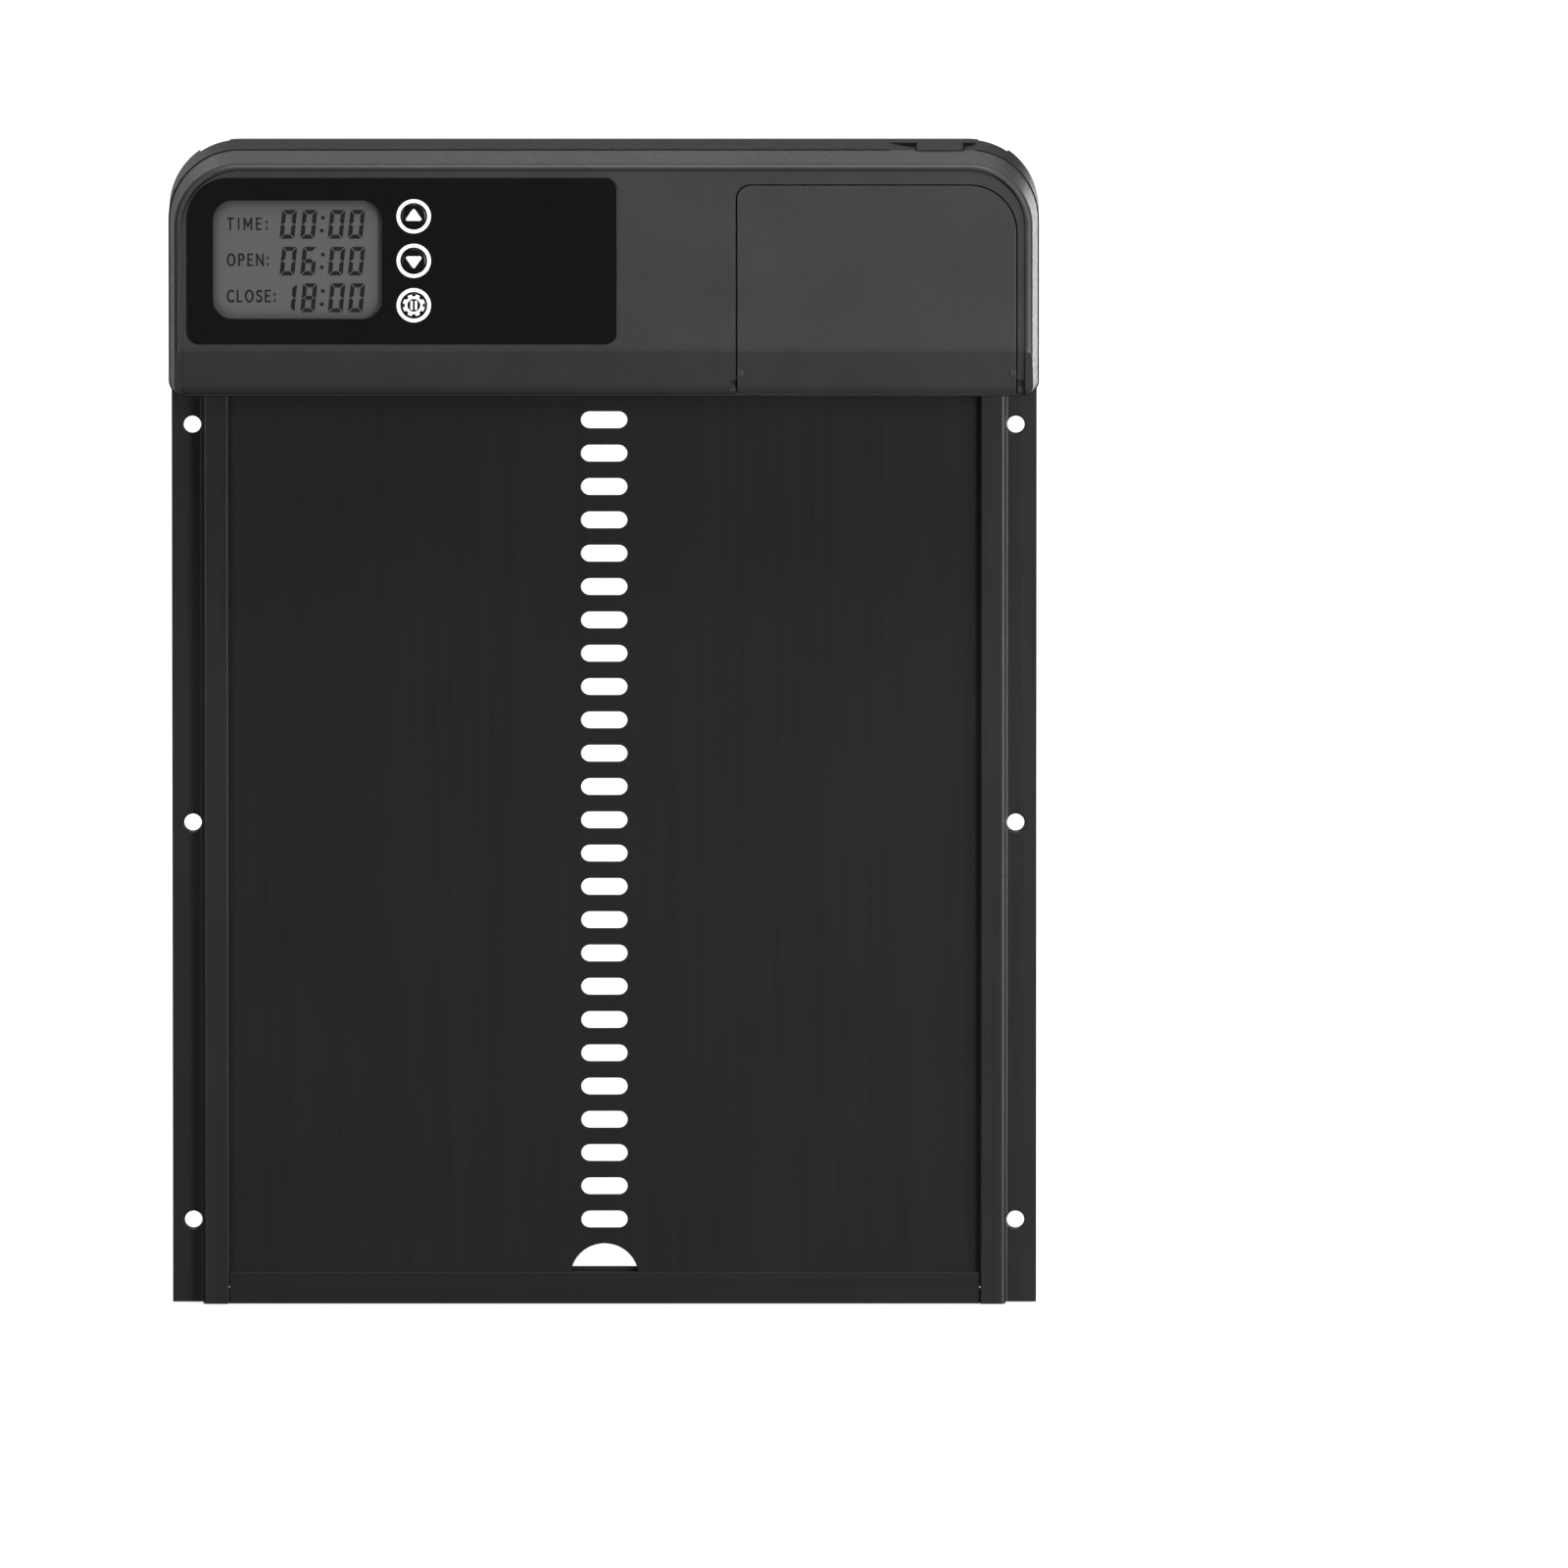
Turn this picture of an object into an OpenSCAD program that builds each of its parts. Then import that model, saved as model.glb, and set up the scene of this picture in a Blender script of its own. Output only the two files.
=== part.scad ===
// Automatic coop door: a slotted sliding door in a flanged aluminium frame, lifted by a
// sprocket whose teeth engage the row of slots, driven by a small geared motor in the head.
// Millimetres.  +Z up, +X to the viewer's right, the wall is the plane y = 0 and the
// front of the object faces -Y.  The origin is the centre of the six wall screws.

/* [Frame] */
// overall width of the frame over the two flanges
frame_w = 239; // [238:0.5:239.6]
// height of the bottom edge below the centre of the screw pattern
org_z = 134; // [133:0.5:135]
// thickness of the rail flange that lies on the wall
flange_t = 1.5; // [1.3:0.1:1.7]
// thickness of the front strip of the rail
strip_t = 1.3; // [1.1:0.1:1.4]
// diameter of the wall screw holes
hole_d = 4.8; // [4.2:0.1:5.2]
// distance between the two columns of wall screws
hole_dx = 227.5; // [227:0.1:228]
// distance between neighbouring wall screws in a column
hole_dz = 111; // [108:0.5:114]

/* [Door] */
// width of the sliding door
door_w = 218; // [216:0.5:218.4]
// thickness of the sliding door
door_t = 1.5; // [1.3:0.1:1.6]
// distance from one drive slot to the next
slot_pitch = 9.3; // [9.3:0.1:9.3]
// length of a drive slot
slot_w = 12.8; // [12:0.1:13.4]
// height of a drive slot
slot_h = 4.8; // [4.7:0.1:5.1]
// number of drive slots
slot_n = 30; // [30:1:30]

/* [Head] */
// width of the head
head_w = 240; // [239.6:0.1:240.4]
// radius of the head's two upper corners
head_r = 19.5; // [18.5:0.5:20.5]
// wall thickness of the housings
wall = 2.2; // [2:0.1:2.4]
// height of the crease where the chin begins
crease_z = 271.6; // [271:0.1:272]
// how far the head narrows on each side towards the front
bevel = 1.9; // [1.6:0.1:2.2]

/* [Controls] */
// diameter of a push button
button_d = 6.7; // [6.3:0.1:6.8]
// thickness of the glossy control panel
panel_t = 1.0; // [0.8:0.1:1.1]

/* [Drive] */
// width of the sprocket teeth
tooth_w = 9; // [8:0.5:9.5]
// radius of the output shaft
shaft_r = 2; // [2:0.1:2]
// module of the gears
gear_m = 0.4; // [0.4:0.1:0.4]

/* [Battery] */
// diameter of an AA cell
cell_d = 14.5; // [14:0.1:14.5]
// spacing of the cells
cell_pitch = 15.6; // [15.4:0.1:15.8]

/* [Hidden] */
$fn = 72;

hw = head_w / 2;               // half width of the head
fw = frame_w / 2;              // half width of the frame
rail_x = 111;                  // outer face of the rail's web
web_in = 109.6;                // inner face of the rail's web
strip_in = 104;                // inner edge of the rail's strip
strip_d = 6;                   // front face of the strip, in front of the wall
door_d = 2.3;                  // back face of the door
z_sill = 9.8;                  // top of the sill's back wall
z_head = 256.3;                // bottom of the head
z_top = 325;                   // top of the head
d_seam = 27.3;                 // joint between the two housings
d_face = 44.5;                 // flat face of the head
d_rim = 45;                    // front of the bevelled rim
n_teeth = 8;
pitch_r = n_teeth * slot_pitch / (2 * PI);
ax_d = door_d + door_t / 2 + pitch_r;   // depth of the sprocket's axis
z_slot = 23.35;                // centre of the lowest slot
ax_z = z_slot + 28 * slot_pitch;        // height of the sprocket's axis
cd = gear_m * (12 + 36) / 2;   // distance between the two gear axes
bx_z = ax_z + cd;
hole_z = [org_z - hole_dz, org_z, org_z + hole_dz];
clamp_x = 114.8;               // long screws through flange and both housings
clamp_z = [263.2, 299];
mid_s = [[-60, 262.0], [-60, 319.0], [36, 262.6], [36, 319.0]];
btn_x = -52.25;
btn_z = [308.6, 296.25, 283.9];
cov_x0 = 36.8; cov_x1 = 113.6; cov_z = 317;
bat_x = 75.2;
pcb_f = 36.7;                  // front face of the circuit board
pcb_s = [[-106, 270.3], [-42, 311.5], [26, 270], [26, 311.5]];
gp = [[9.7, 12.5], [13, 15.8], [16.3, 19.1], [19.6, 22.4]];  // the four gear planes
tray_s = [[bat_x, 269], [bat_x, 309]];
plug_x = 92.6; plug_d = 18.5;

module place() translate([0, 0, -org_z]) children();
// outline in X-Z, solid from depth a to depth b in front of the wall
module slab(a, b) translate([0, -a, 0]) rotate([90, 0, 0]) linear_extrude(b - a) children();
// profile in Y-Z, solid from x = a to x = b
module bar(a, b) translate([a, 0, 0]) rotate([90, 0, 90]) linear_extrude(b - a) children();
module post(a, b) translate([0, 0, a]) linear_extrude(b - a) children();
// box between depths d0 and d1
module bx(x0, x1, d0, d1, z0, z1) translate([x0, -d1, z0]) cube([x1 - x0, d1 - d0, z1 - z0]);
// cylinder along Y from depth a to depth b
module rod(x, z, a, b, r) translate([x, -a, z]) rotate([90, 0, 0]) cylinder(r = r, h = b - a);
module cone(x, z, a, b, ra, rb) translate([x, -a, z]) rotate([90, 0, 0]) cylinder(r1 = ra, r2 = rb, h = b - a);
// cylinder along X
module xrod(a, b, d, z, r) translate([a, -d, z]) rotate([0, 90, 0]) cylinder(r = r, h = b - a);
module zrod(x, d, a, b, r) translate([x, -d, a]) cylinder(r = r, h = b - a);
// rectangle with four corner radii, from the lower left round to the upper left
module rr4(x0, y0, x1, y1, a, b, c, d) {
  polygon([[x0 + a, y0], [x1 - b, y0], [x1, y0 + b], [x1, y1 - c], [x1 - c, y1],
    [x0 + d, y1], [x0, y1 - d], [x0, y0 + a]]);
  translate([x0 + a, y0 + a]) circle(r = a);
  translate([x1 - b, y0 + b]) circle(r = b);
  translate([x1 - c, y1 - c]) circle(r = c);
  translate([x0 + d, y1 - d]) circle(r = d);
}
module head2d(i = 0) rr4(-hw + i, z_head + i, hw - i, z_top - i, 4.5 - i * 0.6, 4.5 - i * 0.6, head_r - i, head_r - i);

// ---------------------------------------------------------------- frame
module rail2d() difference() {
  union() {
    polygon([[strip_in, 0], [fw, 0], [fw, -flange_t], [rail_x, -flange_t], [rail_x, -(strip_d - 1.2)],
      [rail_x - 1.2, -strip_d], [strip_in, -strip_d], [strip_in, -(strip_d - strip_t)],
      [web_in, -(strip_d - strip_t)], [web_in, -flange_t], [strip_in, -flange_t]]);
    translate([rail_x - 1.2, -(strip_d - 1.2)]) circle(r = 1.2);
  }
  // the groove in which the door's edge runs
  translate([strip_in - 1, -(strip_d - strip_t)]) square([web_in - strip_in + 1, strip_d - strip_t - flange_t]);
}
module rail() difference() {
  post(0, 320) rail2d();
  // the flange stops below the head's rounded corner
  bx(rail_x + 0.1, fw + 1, -1, strip_d + 1, 302, 330);
  for (z = hole_z) {
    rod(hole_dx / 2, z, -1, 3, hole_d / 2);
    cone(hole_dx / 2, z, flange_t - 0.3, flange_t + 0.01, hole_d / 2, hole_d / 2 + 0.3);
  }
  for (z = clamp_z) {
    rod(clamp_x, z, -1, 3, 1.6);
    cone(clamp_x, z, -0.01, 1.25, 2.85, 1.6);
  }
  xrod(web_in - 1, rail_x + 1, 3.1, 2.1, 1.2);
  translate([rail_x - 0.9, -3.1, 2.1]) rotate([0, 90, 0]) cylinder(r1 = 1.2, r2 = 1.95, h = 0.91);
}
module right_rail() color([0.22, 0.22, 0.23]) place() rail();
module left_rail() color([0.22, 0.22, 0.23]) place() mirror([1, 0, 0]) rail();

module sill() color([0.2, 0.2, 0.21]) place() difference() {
  union() {
    bar(-strip_in + 0.2, strip_in - 0.2)
      polygon([[-0.3, 0], [-0.3, z_sill], [-1.5, z_sill], [-1.5, 1.5], [-4.2, 1.5], [-4.2, 8.8], [-5.2, 8.8], [-5.2, 0]]);
    for (s = [-1, 1]) translate([s * 103.2, 0, 0]) bx(-6.2, 6.2, 1.7, 4.5, 0, 4);
  }
  for (s = [-1, 1]) rotate([0, 0, s < 0 ? 180 : 0])
    translate([0, s < 0 ? 6.2 : 0, 0]) xrod(99, 111, 3.1, 2.1, 0.95);
}
module sill_screw() {
  xrod(101, 110.1, 3.1, 2.1, 0.95);
  translate([110.1, -3.1, 2.1]) rotate([0, 90, 0]) cylinder(r1 = 1.15, r2 = 1.85, h = 0.85);
}
module sill_screws() color([0.7, 0.7, 0.72]) place() { sill_screw(); mirror([1, 0, 0]) sill_screw(); }

// ---------------------------------------------------------------- door
module door_panel() color([0.16, 0.16, 0.17]) place() slab(door_d, door_d + door_t) difference() {
  rr4(-door_w / 2, 4.6, door_w / 2, 302, 0.6, 0.6, 4, 4);
  for (k = [0:slot_n - 1]) translate([0, z_slot + k * slot_pitch]) {
    square([slot_w - slot_h, slot_h], center = true);
    for (s = [-1, 1]) translate([s * (slot_w - slot_h) / 2, 0]) circle(r = slot_h / 2);
  }
  translate([0, 7.15]) circle(r = 9.45);
  translate([-9.45, 0]) square([18.9, 7.15]);
}

// ---------------------------------------------------------------- head
// the head's front half narrows a little towards the front, then has a small bevel
module bevels() {
  bar(-hw + head_r, hw - head_r) polygon([[-d_seam - 0.5, z_top], [-43.9, z_top - bevel], [-d_rim, z_top - bevel - 1.1],
    [-d_rim - 1, z_top - bevel - 2.1], [-d_rim - 1, z_top + 1], [-d_seam - 0.5, z_top + 1]]);
  for (s = [-1, 1]) mirror([s < 0 ? 1 : 0, 0, 0]) {
    post(z_head - 2, z_top - head_r) polygon([[hw, -d_seam - 0.5], [hw - bevel, -43.9], [hw - bevel - 1.1, -d_rim],
      [hw - bevel - 2.1, -d_rim - 1], [hw + 1, -d_rim - 1], [hw + 1, -d_seam - 0.5]]);
    // round corner
    translate([hw - head_r, 0, z_top - head_r]) rotate([90, 0, 0]) rotate_extrude(angle = 90)
      polygon([[head_r, d_seam + 0.5], [head_r - bevel, 43.9], [head_r - bevel - 1.1, d_rim],
        [head_r - bevel - 2.1, d_rim + 1], [head_r + 1, d_rim + 1], [head_r + 1, d_seam + 0.5]]);
  }
}
module chin_cut() bar(-hw - 2, hw + 2)
  polygon([[-d_face, crease_z], [-42, 259.2], [-d_seam + 1, z_head - 0.2], [-d_seam + 1, 240], [-60, 240], [-60, crease_z + 0.01]]);
module chin_cav() bar(-hw - 2, hw + 2)
  polygon([[-20, 250], [-20, 258.3], [-d_seam, 258.6], [-40.1, 261.2], [-42.3, crease_z + 0.3], [-42.3, 340], [-60, 340], [-60, 250]]);
module cover2d(g = 0) rr4(cov_x0 - g, 230, cov_x1 + g, cov_z + g, 1, 1, 13 + g, 3.6 + g);

module rear_housing() color([0.13, 0.13, 0.14]) place() difference() {
  union() {
    difference() {
      slab(flange_t, d_seam) head2d();
      // inside, behind the rails' strips and between them
      slab(8.4, d_seam + 1) head2d(wall + 0.2);
      bx(-100, 100, 4.2 + wall, 10, z_head + wall + 0.2, z_top - wall);
    }
    for (s = [-1, 1], z = clamp_z) rod(s * clamp_x, z, flange_t, d_seam, 3.1);
    for (p = mid_s) rod(p[0], p[1], 5, d_seam, 3.2);
    for (p = tray_s) rod(p[0], p[1], 6, 25, 3);
    for (z = [270.2, 307]) rod(15, z, 6, 10, 3);
    // rib that carries the left end of the output shaft
    bx(-8.6, -6.2, 6, 21.5, ax_z - 8, ax_z + 8);
    // pocket that holds the socket's plug
    bx(84, 101.2, 10, d_seam, 320.6, z_top - 0.6);
  }
  // way for the door and the rails
  bx(-103.4, 103.4, 0, 4.2, 240, 340);
  for (s = [-1, 1]) translate([s * 107.4, 0, 0]) bx(-4, 4, 0, 6.3, 240, 340);
  bx(-6.2, 6.2, 3, 9, ax_z - 14.8, ax_z + 14.8);
  xrod(-9, -6, ax_d, ax_z, 3.3);
  for (s = [-1, 1], z = clamp_z) rod(s * clamp_x, z, 0, d_seam + 1, 1.6);
  for (p = mid_s) { rod(p[0], p[1], 0, d_seam + 1, 1.6); rod(p[0], p[1], 0, 6.2, 2.9); }
  for (p = tray_s) rod(p[0], p[1], 14, 26, 1.25);
  for (z = [270.2, 307]) rod(15, z, 6.6, 11, 1.05);
  // finger scoops beside the plug, its recess and its bore
  slab(13, d_seam + 1) polygon([[78.1, z_top + 0.5], [78.1, z_top], [85.9, z_top - 1.1], [99.3, z_top - 1.1], [103.4, z_top], [103.4, z_top + 0.5]]);
  bx(85.8, 99.4, 13.2, d_seam + 1, 323, 330);
  zrod(plug_x, plug_d, 319, 330, 3.4);
  // seal groove
  slab(d_seam - 0.8, d_seam + 1) difference() { head2d(0.8); head2d(1.7); }
}

module front_housing() color([0.15, 0.15, 0.16]) place() difference() {
  union() {
    difference() {
      slab(d_seam, d_rim) head2d();
      bevels();
      chin_cut();
      // flat face inside the raised rim, with the narrow shadow groove under its top edge
      slab(d_face, d_rim + 1) rr4(-hw + 3.8, 240, hw - 3.8, 321.9, 2, 2, 16.2, 16.2);
      slab(d_face - 0.7, d_rim + 1) difference() {
        rr4(-hw + 3.9, 240, hw - 3.9, 321.8, 2, 2, 16.1, 16.1);
        rr4(-hw - 9, 200, hw + 9, 321, 2, 2, 2, 2);
      }
      // cavity
      difference() {
        union() {
          slab(d_seam - 1, 36) head2d(wall + 0.2);
          slab(35.9, 42.3) head2d(wall + 1.3);
        }
        chin_cav();
      }
    }
    for (s = [-1, 1], z = clamp_z) rod(s * clamp_x, z, d_seam, 38.6, 3.1);
    for (p = mid_s) rod(p[0], p[1], d_seam, p[0] > 0 ? 38.6 : 42.4, 3.2);
    for (p = pcb_s) rod(p[0], p[1], pcb_f, 42.4, 2.8);
    for (z = btn_z) rod(btn_x, z, 40.6, 42.4, 5.7);
    // guides in which the battery cover slides
    intersection() {
      union() {
        for (x = [33.6, 113.8]) bx(x, x + 3, 39, 42.4, 262.4, 319);
        bx(33.6, 116.8, 39, 42.4, 318.5, 319.7);
      }
      slab(38.9, 42.5) head2d(2.8);
    }
  }
  // pocket and windows for the control panel
  slab(43.7, 50) rr4(-114.9, 273.0, 3.84, 319.4, 3.5, 3.5, 3.5, 11.8);
  slab(41, 50) rr4(-109, 278.6, -59.5, 314.5, 2, 2, 2, 2);
  for (z = btn_z) { rod(btn_x, z, 42.2, 50, 5); rod(btn_x, z, 38, 50, 1.6); }
  // opening for the battery cover, open at the bottom
  slab(38.6, 50) cover2d(0.25);
  bx(34.6, 37.2, 40.1, 41.65, 230, 316);
  bx(113.2, 115.8, 40.1, 41.65, 230, 316);
  bx(33.6, 116.8, 39, 46, 230, 262.3);
  for (s = [-1, 1], z = clamp_z) rod(s * clamp_x, z, d_seam - 1, 37.4, 1.25);
  for (p = mid_s) rod(p[0], p[1], d_seam - 1, p[0] > 0 ? 37.4 : 40, 1.25);
  for (p = pcb_s) rod(p[0], p[1], pcb_f - 1, 41.4, 0.95);
  slab(d_seam - 1, d_seam + 0.4) difference() { head2d(0.8); head2d(1.7); }
  bx(85.8, 99.4, d_seam - 1, 28.5, 323, 330);
}
module housing_gasket() color([0.08, 0.08, 0.08]) place() difference() {
  slab(d_seam - 0.75, d_seam + 0.35) difference() { head2d(0.85); head2d(1.65); }
  bx(85, 100.2, 20, 35, 322, 330);
}

module clamp_screws() color([0.7, 0.7, 0.72]) place() for (s = [-1, 1], z = clamp_z) {
  cone(s * clamp_x, z, 0, 1.2, 2.7, 1.5);
  rod(s * clamp_x, z, 1.19, d_seam - 0.05, 1.5);
  rod(s * clamp_x, z, d_seam - 0.06, 36.5, 1.2);
}
module housing_screws() color([0.7, 0.7, 0.72]) place() for (p = mid_s) difference() {
  union() {
    rod(p[0], p[1], 4.4, 6.1, 2.7);
    rod(p[0], p[1], 6.09, d_seam - 0.05, 1.5);
    rod(p[0], p[1], d_seam - 0.06, 36.5, 1.2);
  }
  slab(4, 5.4) translate([p[0], p[1]]) { square([3.4, 0.7], center = true); square([0.7, 3.4], center = true); }
}

// ---------------------------------------------------------------- controls
module control_panel() color([0.06, 0.06, 0.065]) place() slab(43.72, 43.72 + panel_t) difference() {
  rr4(-114.8, 273.1, 3.74, 319.3, 3.5, 3.5, 3.5, 11.7);
  rr4(-107.4, 280.15, -61.1, 312.95, 5.2, 5.2, 5.2, 5.2);
  for (z = btn_z) translate([btn_x, z]) circle(r = 3.65);
}
module display_lens() color([0.3, 0.32, 0.33, 0.5]) place() slab(43.74, 43.7 + panel_t)
  rr4(-107.35, 280.2, -61.15, 312.9, 5.15, 5.15, 5.15, 5.15);
module lcd_glass() color([0.45, 0.47, 0.46]) place() {
  slab(42.1, 43.5) rr4(-108.4, 279.2, -60.1, 313.9, 0.4, 0.4, 0.4, 0.4);
  slab(40.9, 42.08) rr4(-108.4, 281.4, -60.1, 313.9, 0.4, 0.4, 0.4, 0.4);
}
module lcd_holder() color([0.85, 0.85, 0.83]) place() difference() {
  slab(pcb_f + 0.05, 40.8) rr4(-108.4, 277, -60.1, 315, 1, 1, 1, 1);
  slab(pcb_f - 1, 39.6) rr4(-106.8, 282.6, -61.7, 313.4, 0.6, 0.6, 0.6, 0.6);
  slab(pcb_f - 1, 42) rr4(-104, 278.6, -64.5, 281.2, 0.2, 0.2, 0.2, 0.2);
}
module lcd_connector() color([0.75, 0.6, 0.68]) place() bx(-103.8, -64.7, pcb_f + 0.05, 42.0, 278.8, 281.0);
module main_pcb() color([0.05, 0.28, 0.14]) place() slab(pcb_f - 1.6, pcb_f) difference() {
  rr4(-110.6, 266.6, 30, 315.2, 1, 1, 1, 1);
  for (p = pcb_s) translate(p) circle(r = 1.2);
}
module pcb_screws() color([0.7, 0.7, 0.72]) place() for (p = pcb_s) {
  rod(p[0], p[1], pcb_f - 3.1, pcb_f - 1.65, 2);
  rod(p[0], p[1], pcb_f - 1.65, 41, 0.9);
}
module pcb_components() color([0.1, 0.1, 0.1]) place() {
  bx(-70, -60, 33.4, 35.05, 292, 302);
  bx(-40, -35, 33.5, 35.05, 300, 306);
  bx(-96, -92, 33.9, 35.05, 296, 304);
  rod(-84, 276, 31, 35.05, 3.15);
  rod(-30, 280, 31, 35.05, 3.15);
  rod(-96, 284, 31.5, 35.05, 4.6);
  bx(-52, -46, 34.1, 35.05, 278, 280.4);
  bx(-52, -46, 34.1, 35.05, 286, 288.4);
}
module pcb_connectors() color([0.9, 0.88, 0.8]) place() for (p = [[18, 300], [18, 285], [-20, 300]]) difference() {
  bx(p[0] - 3, p[0] + 3, 30, 35.05, p[1] - 4, p[1] + 4);
  bx(p[0] - 2.3, p[0] + 2.3, 29, 33.4, p[1] - 3.3, p[1] + 3.3);
}
module tact_switches() color([0.2, 0.2, 0.22]) place() for (z = btn_z) difference() {
  bx(btn_x - 3, btn_x + 3, pcb_f + 0.05, 39.6, z - 3, z + 3);
  rod(btn_x, z, 38.3, 41, 1.85);
}
module button(z) place() {
  rod(btn_x, z, 43.0, 44.85, button_d / 2);
  rod(btn_x, z, 43.0, 43.62, 4.6);
  rod(btn_x, z, 40.15, 43.0, 1.52);
}
module up_button() color([0.1, 0.1, 0.1]) button(btn_z[0]);
module down_button() color([0.1, 0.1, 0.1]) button(btn_z[1]);
module set_button() color([0.1, 0.1, 0.1]) button(btn_z[2]);
module plunger(z) place() rod(btn_x, z, 39.0, 40.1, 1.7);
module up_plunger() color([0.8, 0.8, 0.78]) plunger(btn_z[0]);
module down_plunger() color([0.8, 0.8, 0.78]) plunger(btn_z[1]);
module set_plunger() color([0.8, 0.8, 0.78]) plunger(btn_z[2]);

// ---------------------------------------------------------------- drive
function inv(a) = tan(a) * 180 / PI - a;
function flank(m, z, r) = let(rp = m * z / 2, rb = rp * cos(20))
  (PI * m / 2 - 0.15 * m) / 2 / rp * 180 / PI + inv(20) - inv(acos(min(1, rb / r)));
function tooth(m, z, n, rr) = let(rp = m * z / 2, rb = rp * cos(20), r0 = max(rb, rr + 0.01), ra = rp + 0.8 * m)
  concat([[rr, flank(m, z, r0)]], [for (i = [0:n]) let(r = r0 + (ra - r0) * i / n) [r, flank(m, z, r)]]);
module gear2d(m, z, n) {
  rr = m * z / 2 - 1.2 * m;
  t = tooth(m, z, n, rr);
  polygon([for (k = [0:z - 1]) let(c = 360 * k / z) for (j = [0:2 * n + 3])
    let(q = j <= n + 1 ? t[j] : t[2 * n + 3 - j], a = j <= n + 1 ? c - q[1] : c + q[1]) [q[0] * cos(a), q[0] * sin(a)]]);
}
// gear about an axis along X at height z; its tooth or gap pointing at angle a (0 = towards the wall, 90 = up)
module gearx(p, z, teeth, n, a, r) translate([p[0], -ax_d, z]) rotate([90, 0, 90]) linear_extrude(p[1] - p[0])
  difference() { rotate(a) gear2d(gear_m, teeth, n); circle(r = r); }
module ringx(a, b, z, ro, ri) translate([a, -ax_d, z]) rotate([90, 0, 90]) linear_extrude(b - a)
  difference() { circle(r = ro); circle(r = ri); }

module motor_pinion() color([0.75, 0.65, 0.35]) place() gearx(gp[3], ax_z, 12, 2, 90, 1.02);
module first_gear() color([0.9, 0.9, 0.86]) place() {
  gearx(gp[3], bx_z, 36, 2, 275, 1.05);
  ringx(gp[2][1] - 0.01, gp[3][0] + 0.01, bx_z, 1.9, 1.05);
  gearx(gp[2], bx_z, 12, 2, 270, 1.05);
}
module second_gear() color([0.9, 0.9, 0.86]) place() {
  gearx(gp[2], ax_z, 36, 2, 95, 1.05);
  ringx(gp[1][1] - 0.01, gp[2][0] + 0.01, ax_z, 1.9, 1.05);
  gearx(gp[1], ax_z, 12, 2, 90, 1.05);
}
module third_gear() color([0.9, 0.9, 0.86]) place() {
  gearx(gp[1], bx_z, 36, 2, 275, 1.05);
  ringx(gp[0][1] - 0.01, gp[1][0] + 0.01, bx_z, 1.9, 1.05);
  gearx(gp[0], bx_z, 12, 2, 270, 1.05);
}
module output_gear() color([0.9, 0.9, 0.86]) place() gearx(gp[0], ax_z, 36, 2, 95, shaft_r + 0.02);
module output_shaft() color([0.72, 0.72, 0.74]) place() {
  xrod(-9, 12.6, ax_d, ax_z, shaft_r);
  xrod(12.6, 19.15, ax_d, ax_z, 1);
}
module gear_axle() color([0.72, 0.72, 0.74]) place() xrod(7.4, 24.2, ax_d, bx_z, 1);
module drive_sprocket() color([0.85, 0.83, 0.76]) place() {
  rp = pitch_r; rr = rp - 2; ra = rp + 2; w = 3.9; t = 1.4;
  translate([-tooth_w / 2, -ax_d, ax_z]) rotate([90, 0, 90]) linear_extrude(tooth_w) difference() {
    union() {
      circle(r = rr);
      for (k = [0:n_teeth - 1]) rotate(360 * k / n_teeth)
        polygon([[rr - 1, -w / 2 - 0.1], [rp - 0.6, -w / 2 - 0.05], [rp, -w / 2], [rp + 1, -w * 0.31 - t * 0.19], [ra - 0.2, -t / 2], [ra, -t / 2 + 0.3],
          [ra, t / 2 - 0.3], [ra - 0.2, t / 2], [rp + 1, w * 0.31 + t * 0.19], [rp, w / 2], [rp - 0.6, w / 2 + 0.05], [rr - 1, w / 2 + 0.1]]);
    }
    circle(r = shaft_r + 0.02);
    for (k = [0:3]) rotate(45 + 90 * k) translate([6, 0]) circle(r = 1.7);
  }
  ringx(-5.6, -tooth_w / 2 + 0.01, ax_z, 4, shaft_r + 0.02);
  ringx(tooth_w / 2 - 0.01, 5.6, ax_z, 4, shaft_r + 0.02);
}
module shaft_bushings() color([0.7, 0.55, 0.3]) place() {
  ringx(-8.6, -6.2, ax_z, 3.28, shaft_r + 0.06);
  ringx(6.3, 7, ax_z, 4.2, shaft_r + 0.06);
  ringx(6.99, 9, ax_z, 3.28, shaft_r + 0.06);
}
module gearbox_case() color([0.86, 0.86, 0.84]) place() difference() {
  union() {
    difference() {
      bx(7, 23, 6.7, 24.3, 274, 303.1);
      bx(9, 24, 5, 22.9, 275.4, 301.7);
    }
    bx(11, 19, 10.05, 12, 266.6, 274.01);
    bx(11, 19, 10.05, 12, 303.09, 310.4);
    for (z = [276.2, 300.9]) xrod(8.9, 23, 21.5, z, 2);
  }
  xrod(6, 10, ax_d, ax_z, 3.3);
  xrod(6, 10, ax_d, bx_z, 1.01);
  for (z = [270.2, 307]) rod(15, z, 9, 13, 1.3);
  for (z = [276.2, 300.9]) xrod(12, 24, 21.5, z, 0.85);
}
module gearbox_cover() color([0.86, 0.86, 0.84]) place() difference() {
  bx(23.02, 24.6, 6.7, 24.3, 274, 303.1);
  xrod(22, 26, ax_d, ax_z, 3.2);
  xrod(22, 26, ax_d, bx_z, 1.01);
  for (z = [276.2, 300.9]) { xrod(22, 26, 21.5, z, 1.1); xrod(23.6, 26, 21.5, z, 1.75); }
}
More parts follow.
